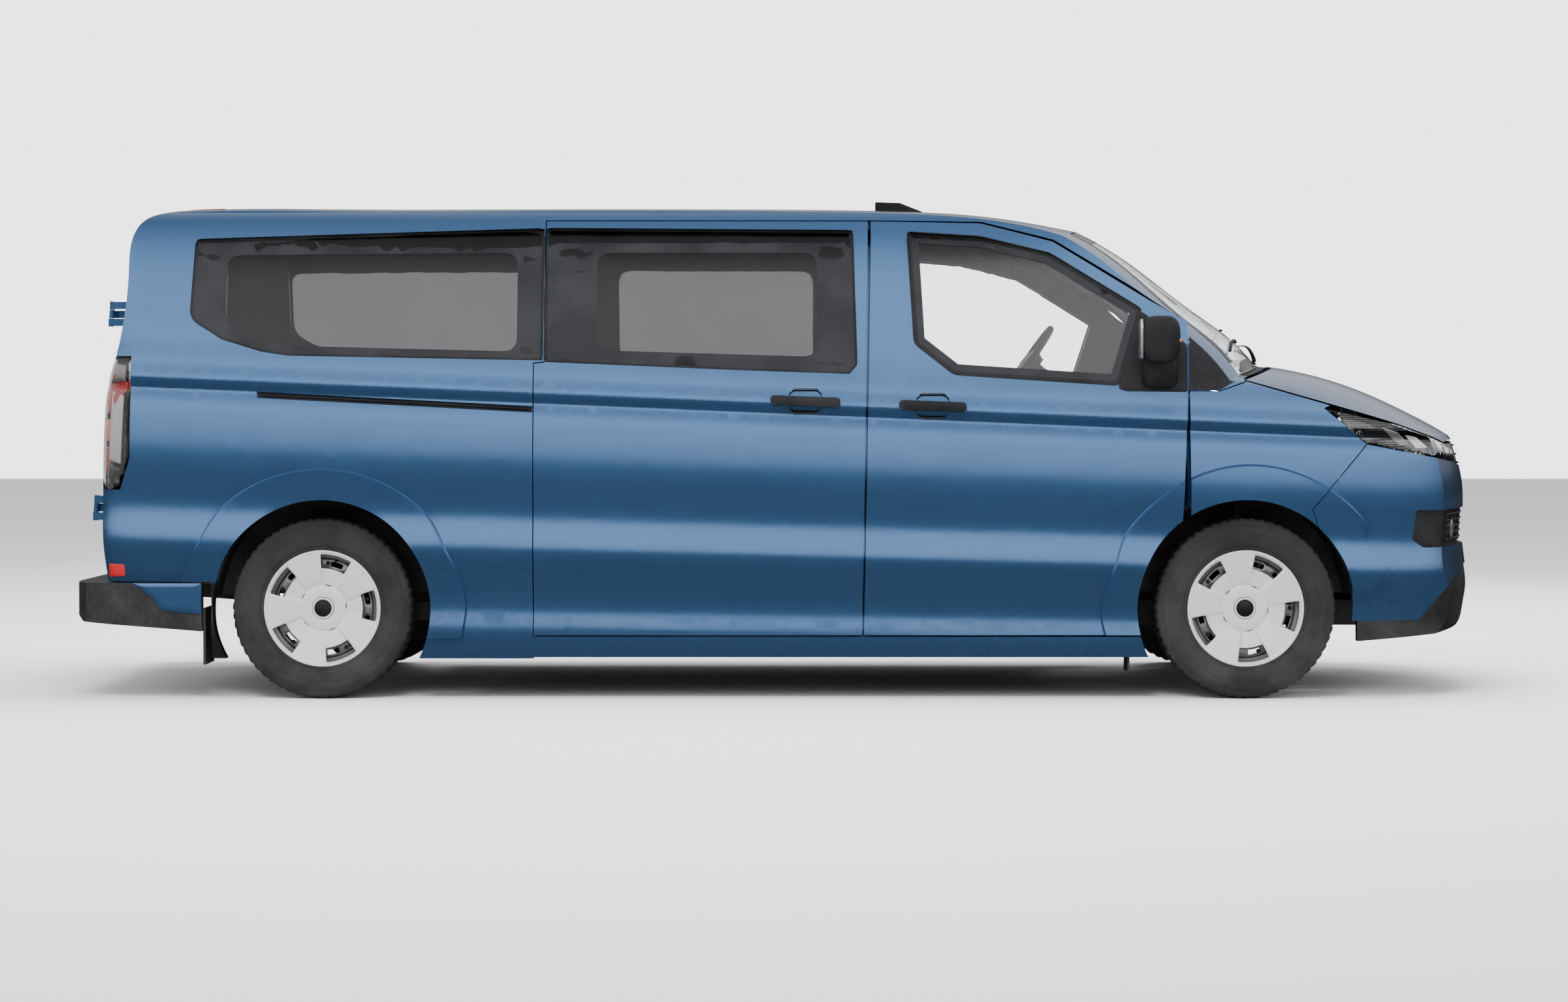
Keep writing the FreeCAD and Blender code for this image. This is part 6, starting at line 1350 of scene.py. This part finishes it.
def make_wipers():
    """Two arms with blades lying on the lower windscreen."""
    tree = tree_of("windscreen", "front_trim", "body_frame")

    def on_screen(x, y, lift):
        hit, normal, *_ = tree.ray_cast(Vector((x, y, 2.4)), Vector((0, 0, -1)))
        if hit is None:
            hit, normal, *_ = tree.find_nearest(Vector((x, y, 1.3)))
        if normal.z < 0:
            normal = -normal
        return hit + normal * lift

    for index, (pivot, tip, blade_from, blade_to) in enumerate((
            ((1.848, 0.66), (1.742, 0.10), (1.772, 0.50), (1.735, -0.16)),
            ((1.895, 0.02), (1.752, -0.52), (1.790, -0.18), (1.700, -0.70)))):
        arm_path = [on_screen(pivot[0] + (tip[0] - pivot[0]) * k / 10,
                              pivot[1] + (tip[1] - pivot[1]) * k / 10,
                              0.014 + 0.010 * math.sin(math.pi * k / 10)) for k in range(11)]
        arm = rod(arm_path, [0.010 - 0.005 * k / 10 for k in range(11)], 8, 0.5)
        blade_path = [on_screen(blade_from[0] + (blade_to[0] - blade_from[0]) * k / 16,
                                blade_from[1] + (blade_to[1] - blade_from[1]) * k / 16, 0.007)
                      for k in range(17)]
        blade = rod(blade_path, 0.0065, 8, 0.8)
        piece_from(f"wiper_arm_{index}", *arm, "gloss", "chassis", "trim_black", 45)
        piece_from(f"wiper_blade_{index}", *blade, "seal", "chassis", "trim_black", 45)


# Cabin
def make_cabin():
    """Vents, screen, dials, gear lever, steering pad, door trims and inner mirror."""
    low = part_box("dashboard")[0]
    face = tree_of("dashboard")

    def dash(y, z, height):
        hit = face.ray_cast(Vector((0.4, y, z)), Vector((1, 0, 0)))[0]
        if hit is None:
            hit = Vector((low[0] + 0.05, y, z))
        return Vector((hit.x - height, y, z))

    vents = []
    frames = []
    for y in (-0.66, -0.09, 0.09, 0.74):
        line = oblong(y - 0.055, 1.025, y + 0.055, 1.090)
        frames.append(shaped(line, [(-0.004, 0.0), (-0.004, 0.008), (0.0, 0.010), (0.004, 0.004)], dash,
                             0.014))
        for k in range(4):
            z = 1.036 + 0.0145 * k
            vents.append(rod([dash(y - 0.050, z, 0.004), dash(y + 0.050, z, 0.004)], 0.0030, 6, 1.6))
    piece_from("vent_frames", *merged(frames), "gloss", "chassis", "cabin_plastic", 45)
    piece_from("vent_vanes", *merged(vents), "cabin_grey", "chassis", "cabin_plastic", 45)
    screen_line = oblong(-0.045, 0.925, 0.175, 1.012)
    screen = shaped(screen_line, [(-0.008, 0.0), (-0.008, 0.008), (0.0, 0.010), (0.002, 0.0085)], dash,
                    0.010, fill=2)
    piece_from("dash_screen", *screen, "screen", "chassis", "cabin_plastic", 45)
    dials = []
    for y, radius in ((0.375, 0.052), (0.525, 0.052), (0.45, 0.030)):
        dials.append(shaped(disc(y, 1.165, radius, 16), [(-0.004, 0.0), (-0.004, 0.008), (0.0, 0.009),
                                                         (0.003, 0.003)], dash, 0.003, fill=2,
                            step=0.03, arcs=1))
    piece_from("dash_dials", *merged(dials), "gloss", "chassis", "cabin_plastic", 45)
    lever_path = curve_through([(low[0] + 0.10, 0.06, 0.86), (low[0] + 0.02, 0.06, 0.95),
                                (low[0] - 0.045, 0.06, 1.02)])
    lever = rod(lever_path, 0.009, 10)
    knob_rings = []
    knob_at = Vector((low[0] - 0.052, 0.06, 1.030))
    for k in range(9):
        a = math.pi * k / 8
        knob_rings.append(ring_points(knob_at + Vector((0, 0, -0.030 * math.cos(a))), Vector((1, 0, 0)),
                                      Vector((0, 1, 0)), 0.046 * math.sin(a) + 0.001,
                                      0.042 * math.sin(a) + 0.001, 14, 2))
    piece_from("gear_lever", *merged([lever, lofted(knob_rings)]), "cabin", "chassis", "cabin_plastic", 50)
    tilt = math.radians(55)
    way = Vector((math.sin(tilt), 0, -math.cos(tilt)))
    centre = Vector((1.0, 0.45, 1.29))
    up = Vector((math.cos(tilt), 0, math.sin(tilt)))
    side_way = Vector((0, 1, 0))
    pad_rings = []
    for depth, width, height in ((0.034, 0.150, 0.120), (0.018, 0.165, 0.135), (0.004, 0.168, 0.138),
                                 (-0.008, 0.156, 0.126), (-0.014, 0.120, 0.092), (-0.016, 0.050, 0.040)):
        pad_rings.append(ring_points(centre + way * depth, side_way, up, width, height, 24, 3.2))
    piece_from("steering_pad", *lofted(pad_rings, cap_start=True, cap_end=True), "cabin", "steering",
               "cabin_plastic", 50)
    for name, side in SIDES:
        door = tree_of(f"front_door_{name}")

        def inner(x, z, height):
            hit = door.ray_cast(Vector((x, side * 0.3, z)), Vector((0, side, 0)))[0]
            if hit is None:
                hit = Vector((x, side * 0.88, z))
            return Vector((x, hit.y - side * height, z))

        arm = [(0.45, 0.915), (1.10, 0.900), (1.24, 0.930), (1.24, 0.965), (1.05, 0.965), (0.45, 0.975)]
        trim = shaped(arm, [(-0.004, -0.002), (-0.002, 0.012), (0.006, 0.026), (0.014, 0.030)], inner, 0.02,
                      fill=2)
        piece_from(f"door_armrest_{name}", *trim, "cabin_grey", f"{name}_front_door", "cabin_plastic", 50)
        pocket = [(0.55, 0.42), (1.30, 0.42), (1.36, 0.62), (0.62, 0.62)]
        bin_part = shaped(pocket, [(-0.004, -0.002), (0.0, 0.022), (0.008, 0.026), (0.014, 0.018)], inner,
                          0.03, fill=2)
        piece_from(f"door_bin_{name}", *bin_part, "cabin", f"{name}_front_door", "cabin_plastic", 50)
    mirror_rings = []
    for y in (-0.115, -0.105, -0.05, 0.0, 0.05, 0.105, 0.115):
        edge = 0.55 if abs(y) > 0.11 else 1.0
        mirror_rings.append(ring_points(Vector((1.165, y, 1.655)), Vector((1, 0, 0.3)).normalized(),
                                        Vector((-0.3, 0, 1)).normalized(), 0.026 * edge, 0.066 * edge, 14,
                                        3))
    stem = rod([(1.175, 0, 1.66), (1.205, 0, 1.695)], 0.008, 8)
    piece_from("inner_mirror", *merged([lofted(mirror_rings, cap_start=True, cap_end=True), stem]), "cabin",
               "chassis", "cabin_plastic", 50)


# Seats: each pad is remeshed, swelled, capped and stitched
SEAT_HEIGHT = 0.960
BACK_HEIGHT = 0.640
PAD_SHRINK = 0.010
STITCH_WIDTH = 0.007


def pad_mesh(name, low, high, slant):
    """Rounded starting block; slant moves its top backwards."""
    mesh = bpy.data.meshes.new(name)
    work = bmesh.new()
    bmesh.ops.create_cube(work, size=1.0)
    low, high = Vector(low), Vector(high)
    for v in work.verts:
        p = Vector(((v.co.x + 0.5), (v.co.y + 0.5), (v.co.z + 0.5)))
        v.co = Vector((low[i] + (high[i] - low[i]) * p[i] for i in range(3)))
        v.co.x -= slant * p.z
    bmesh.ops.subdivide_edges(work, edges=work.edges, cuts=3, use_grid_fill=True)
    work.to_mesh(mesh)
    work.free()
    return mesh


def apply_modifiers(obj):
    """The object's mesh with its modifiers in it."""
    depsgraph = bpy.context.evaluated_depsgraph_get()
    mesh = bpy.data.meshes.new_from_object(obj.evaluated_get(depsgraph))
    obj.modifiers.clear()
    old = obj.data
    obj.data = mesh
    bpy.data.meshes.remove(old)


def make_pad(name, low, high, slant, seams, across_seams, replaces):
    """One cushion, back or head rest with its own swelling and seams."""
    low = Vector(low) + Vector((PAD_SHRINK,) * 3)
    high = Vector(high) - Vector((PAD_SHRINK,) * 3)
    mesh = pad_mesh(name, low, high, slant)
    obj = bpy.data.objects.new(name, mesh)
    bpy.context.scene.collection.objects.link(obj)
    edge = obj.modifiers.new("edges", "BEVEL")
    edge.width = min(high - low) * 0.30
    edge.segments = 4
    edge.limit_method = "ANGLE"
    cells = obj.modifiers.new("cells", "REMESH")
    cells.mode = "VOXEL"
    cells.voxel_size = sizes().pad_voxel * 1.0
    apply_modifiers(obj)
    start = [v.co.copy() for v in obj.data.vertices]
    cloth = obj.modifiers.new("swell", "CLOTH")
    cloth.settings.quality = 4
    cloth.settings.use_pressure = True
    cloth.settings.uniform_pressure_force = 4.0
    cloth.settings.effector_weights.gravity = 0.0
    cloth.point_cache.frame_start = 1
    cloth.point_cache.frame_end = sizes().pad_frames
    for number in range(1, sizes().pad_frames + 1):
        bpy.context.scene.frame_set(number)
    apply_modifiers(obj)
    bpy.context.scene.frame_set(1)
    cap = sizes().pad_swell
    for v, before in zip(obj.data.vertices, start):
        move = v.co - before
        if move.length > cap:
            v.co = before + move.normalized() * cap
    size = high - low
    lying = size.z < size.x
    for v in obj.data.vertices:
        p = v.co
        t = (p.z - low.z) / size.z
        x_mid = (low.x + high.x) / 2 - slant * t
        z_mid = (low.z + high.z) / 2
        for y in seams:
            near = math.exp(-((p.y - y) / STITCH_WIDTH) ** 2)
            v.co = v.co.lerp(Vector((x_mid, p.y, z_mid)), 0.055 * near)
        for mark in across_seams:
            along = (p.x - low.x + slant * t) / size.x if lying else t
            near = math.exp(-((along - mark) * max(size.x, size.z) / STITCH_WIDTH) ** 2)
            if near > 0.01:
                v.co = v.co.lerp(Vector((x_mid, p.y, z_mid if lying else p.z)), 0.06 * near)
    soft = obj.modifiers.new("rounding", "SUBSURF")
    soft.levels = soft.render_levels = 1
    apply_modifiers(obj)
    obj.data.shade_smooth()
    obj.data.materials.clear()
    obj.data.materials.append(look("cloth"))
    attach(obj, "chassis")
    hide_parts(replaces)
    return obj


def make_seat(label, x_back, y_from, y_to, top, node, places):
    """Pads of one seat or bench on its plinth."""
    width = (y_to - y_from) / places
    inner_seams = [y_from + width * k for k in range(1, places)]
    side_seams = []
    for k in range(places):
        side_seams += [y_from + width * (k + 0.2), y_from + width * (k + 0.8)]
    low = (x_back + 0.075, y_from + 0.002, top - 0.150)
    high = (x_back + 0.575, y_to - 0.002, top + 0.004)
    make_pad(f"{label}_cushion", low, high, 0.0, inner_seams + side_seams, (0.5,), node)
    back_low = (x_back - 0.004, y_from + 0.002, top - 0.120)
    back_high = (x_back + 0.112, y_to - 0.002, top + BACK_HEIGHT - 0.205)
    make_pad(f"{label}_back", back_low, back_high, 0.040, inner_seams + side_seams, (0.45,), node)
    rests = []
    stems = []
    for k in range(places):
        y = y_from + width * (k + 0.5)
        half = min(0.125, width / 2 - 0.075)
        rests.append(make_pad(f"{label}_head_rest_{k}", (x_back - 0.022, y - half,
                                                         top + BACK_HEIGHT - 0.165),
                              (x_back + 0.068, y + half, top + BACK_HEIGHT - 0.004), 0.006, (), (), node))
        for offset in (-0.05, 0.05):
            stems.append(rod([(x_back + 0.030, y + offset, top + BACK_HEIGHT - 0.235),
                              (x_back + 0.026, y + offset, top + BACK_HEIGHT - 0.140)], 0.006, 10))
    piece_from(f"{label}_rest_stems", *merged(stems), "steel", "chassis", "chassis_steel", 50)
    plinth = brick((x_back + 0.060, y_from + 0.050, 0.5905), (x_back + 0.480, y_to - 0.050, top - 0.145),
                   (0.012, 0.012))
    base = piece_from(f"{label}_plinth", *plinth, "cabin", "chassis", "cabin_plastic", 30, bevel=0.008)
    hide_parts(node)


def make_seats():
    front_x = B_LINE + 0.062
    make_seat("driver_seat", front_x, 0.195, 0.705, SEAT_HEIGHT, "front_seats", 1)
    make_seat("passenger_seat", front_x, -0.755, 0.005, SEAT_HEIGHT, "front_seats", 2)
    make_seat("middle_bench", B_LINE - 1.170, -0.790, 0.560, SEAT_HEIGHT - 0.020, "rear_benches", 3)
    make_seat("rear_bench", REAR_AXLE - 0.500, -0.612, 0.612, SEAT_HEIGHT - 0.020, "rear_benches", 3)


# Stage
def make_stage():
    """Pale floor that glossy rays see as dark, a painted reflection; soft surrounding light with a dark
    horizon, camera at the photograph's place.
    """
    values = stage_settings()
    mesh = bpy.data.meshes.new("studio_floor")
    reach = 40.0
    mesh.from_pydata([(-reach, -reach, 0), (reach, -reach, 0), (reach, reach, 0), (-reach, reach, 0)], [],
                     [(0, 1, 2, 3)])
    floor = bpy.data.objects.new("studio_floor", mesh)
    bpy.context.scene.collection.objects.link(floor)
    material, tree, shader = start_material("studio_floor")
    cloud = add(tree, "ShaderNodeTexNoise", {"Vector": object_place(tree), "Scale": 0.8, "Detail": 3.0})
    tone = mix_colour(tree, cloud.outputs["Fac"], values.floor,
                      tuple(value * 0.985 for value in values.floor))
    tree.links.new(tone, shader.inputs["Base Color"])
    set_up(shader, Roughness=0.9)
    # Painted reflection: glossy rays see the floor as a flat dark emission instead of its pale colour, so
    # the paint reflects a dark floor.
    dark = add(tree, "ShaderNodeEmission", {"Color": (0.035, 0.036, 0.038, 1)})
    rays = add(tree, "ShaderNodeLightPath")
    both = add(tree, "ShaderNodeMixShader", {0: rays.outputs["Is Glossy Ray"], 1: shader.outputs[0],
                                             2: dark.outputs[0]})
    tree.links.new(both.outputs[0], tree.nodes["Material Output"].inputs["Surface"])
    mesh.materials.append(material)
    world = bpy.data.worlds.new("studio_light")
    bpy.context.scene.world = world
    world.use_nodes = True
    tree = world.node_tree
    background = tree.nodes["Background"]
    way = add(tree, "ShaderNodeSeparateXYZ", {0: add(tree, "ShaderNodeTexCoord").outputs["Generated"]})
    far = ramp(tree, way.outputs["Y"], -0.15, 0.25, 1.0, 0.5)
    ramp_node = add(tree, "ShaderNodeValToRGB", {0: maths(tree, "ADD", maths(tree, "MULTIPLY",
                                                                             way.outputs["Z"], 0.5), 0.5)})
    marks = ((0.0, 0.04), (0.50, 0.04), (0.522, 0.07), (0.560, 0.60), (0.62, 1.25), (0.72, 1.35),
             (0.85, 0.60), (1.0, 0.28))
    elements = ramp_node.color_ramp.elements
    while len(elements) < len(marks):
        elements.new(0.5)
    for element, (place, value) in zip(elements, marks):
        element.position = place
        element.color = (value, value, value * 1.02, 1)
    rays = add(tree, "ShaderNodeLightPath")
    level = ramp(tree, way.outputs["Z"], 0.50, 0.65, 1.0, 0.0)
    passed = maths(tree, "MULTIPLY", rays.outputs["Is Transmission Ray"], level)
    through = maths(tree, "MAXIMUM", rays.outputs["Is Camera Ray"], passed)
    studio = mix_colour(tree, far, (0.0, 0.0, 0.0), ramp_node.outputs[0])
    seen = mix_colour(tree, through, studio, (3.2, 3.2, 3.2))
    tree.links.new(seen, background.inputs["Color"])
    lift = maths(tree, "ADD", maths(tree, "MULTIPLY", rays.outputs["Is Diffuse Ray"], 1.3), 1.0)
    tree.links.new(maths(tree, "MULTIPLY", lift, values.sky), background.inputs["Strength"])
    lights = (("key_softbox", (-2.0, -6.0, 7.5), (5.0, 3.0), 700, (0.0, 0.0, 0.8)),
              ("top_softbox", (0.5, 0.5, 8.0), (7.0, 4.0), 1300, (0.0, 0.0, 0.5)),
              ("back_softbox", (2.0, 7.0, 5.0), (6.0, 3.0), 500, (0.0, 0.0, 0.8)))
    for name, place, size, power, aim in lights:
        lamp = bpy.data.lights.new(name, "AREA")
        lamp.shape = "RECTANGLE"
        lamp.size, lamp.size_y = size
        lamp.energy = power
        obj = bpy.data.objects.new(name, lamp)
        bpy.context.scene.collection.objects.link(obj)
        obj.visible_glossy = False
        obj.visible_transmission = False
        obj.location = place
        obj.rotation_euler = (Vector(aim) - Vector(place)).to_track_quat("-Z", "Y").to_euler()
    camera_data = bpy.data.cameras.new("photo_camera")
    camera_data.lens = values.lens
    camera_data.sensor_width = 36.0
    camera_data.clip_end = 200.0
    camera = bpy.data.objects.new("photo_camera", camera_data)
    bpy.context.scene.collection.objects.link(camera)
    camera.location = (-0.015, -13.95, 1.10)
    camera.rotation_euler = (math.radians(90 - 1.54), 0, 0)
    bpy.context.scene.camera = camera


# Operators, one for each group of pieces
class MINIBUS_OT_finish_cad(bpy.types.Operator):
    """Give every CAD part its finish"""
    bl_idname = "minibus.finish_cad"
    bl_label = "Finish CAD parts"

    def execute(self, context):
        finish_cad()
        return {"FINISHED"}


class MINIBUS_OT_wheels(bpy.types.Operator):
    """Build treaded tyres, wheel covers and steel wheels"""
    bl_idname = "minibus.wheels"
    bl_label = "Wheels and tyres"

    def execute(self, context):
        for end in ENDS:
            for name, side in SIDES:
                make_tyre(end, name, side)
                make_wheel(end, name, side)
        return {"FINISHED"}


class MINIBUS_OT_glass(bpy.types.Operator):
    """Build the borders and seals of every pane"""
    bl_idname = "minibus.glass"
    bl_label = "Glass borders and seals"

    def execute(self, context):
        for name, side in SIDES:
            make_side_glass(name, side)
            make_rear_glass(name, side)
        make_windscreen()
        return {"FINISHED"}


class MINIBUS_OT_side(bpy.types.Operator):
    """Build the grips, tracks and mirror sails of the sides"""
    bl_idname = "minibus.side"
    bl_label = "Side details"

    def execute(self, context):
        for name, side in SIDES:
            make_grips(name, side)
            make_side_details(name, side)
        return {"FINISHED"}


class MINIBUS_OT_mirrors(bpy.types.Operator):
    """Build the door mirrors"""
    bl_idname = "minibus.mirrors"
    bl_label = "Mirrors"

    def execute(self, context):
        for name, side in SIDES:
            make_mirror(name, side)
        return {"FINISHED"}


class MINIBUS_OT_lamps(bpy.types.Operator):
    """Build the headlamps, tail lamps and high lamp"""
    bl_idname = "minibus.lamps"
    bl_label = "Lamps"

    def execute(self, context):
        make_headlamps()
        make_tail_lamps()
        return {"FINISHED"}


class MINIBUS_OT_ends(bpy.types.Operator):
    """Build the details of the front and the back, and the wipers"""
    bl_idname = "minibus.ends"
    bl_label = "Front, back and wipers"

    def execute(self, context):
        make_front()
        make_rear()
        make_wipers()
        return {"FINISHED"}


class MINIBUS_OT_cabin(bpy.types.Operator):
    """Build the dashboard details, door trims and steering pad"""
    bl_idname = "minibus.cabin"
    bl_label = "Cabin"

    def execute(self, context):
        make_cabin()
        return {"FINISHED"}


class MINIBUS_OT_seats(bpy.types.Operator):
    """Build the padded seats and benches"""
    bl_idname = "minibus.seats"
    bl_label = "Seats"

    def execute(self, context):
        make_seats()
        return {"FINISHED"}


class MINIBUS_OT_stage(bpy.types.Operator):
    """Build the floor, the light and the camera"""
    bl_idname = "minibus.stage"
    bl_label = "Stage"

    def execute(self, context):
        make_stage()
        return {"FINISHED"}


OPERATORS = (MINIBUS_OT_stage, MINIBUS_OT_finish_cad, MINIBUS_OT_wheels, MINIBUS_OT_glass, MINIBUS_OT_side,
             MINIBUS_OT_mirrors, MINIBUS_OT_lamps, MINIBUS_OT_ends, MINIBUS_OT_cabin, MINIBUS_OT_seats)


class MINIBUS_PT_panel(bpy.types.Panel):
    """Lists the minibus builders and their settings"""
    bl_label = "Minibus"
    bl_idname = "MINIBUS_PT_panel"
    bl_space_type = "VIEW_3D"
    bl_region_type = "UI"
    bl_category = "Minibus"

    def draw(self, context):
        for settings in (finish(), sizes(), stage_settings()):
            for key in settings.__annotations__:
                self.layout.prop(settings, key)
        for operator in OPERATORS:
            self.layout.operator(operator.bl_idname)


CLASSES = (MinibusFinish, MinibusSizes, MinibusStage) + OPERATORS + (MINIBUS_PT_panel,)


def register():
    for cls in CLASSES:
        bpy.utils.register_class(cls)
    bpy.types.Scene.minibus_finish = PointerProperty(type=MinibusFinish)
    bpy.types.Scene.minibus_sizes = PointerProperty(type=MinibusSizes)
    bpy.types.Scene.minibus_stage = PointerProperty(type=MinibusStage)


def unregister():
    del bpy.types.Scene.minibus_stage
    del bpy.types.Scene.minibus_sizes
    del bpy.types.Scene.minibus_finish
    for cls in reversed(CLASSES):
        bpy.utils.unregister_class(cls)


def main():
    register()
    bpy.ops.minibus.stage()
    bpy.ops.minibus.finish_cad()
    bpy.ops.minibus.wheels()
    bpy.ops.minibus.glass()
    bpy.ops.minibus.side()
    bpy.ops.minibus.mirrors()
    bpy.ops.minibus.lamps()
    bpy.ops.minibus.ends()
    bpy.ops.minibus.cabin()
    bpy.ops.minibus.seats()


if __name__ == "__main__":
    main()
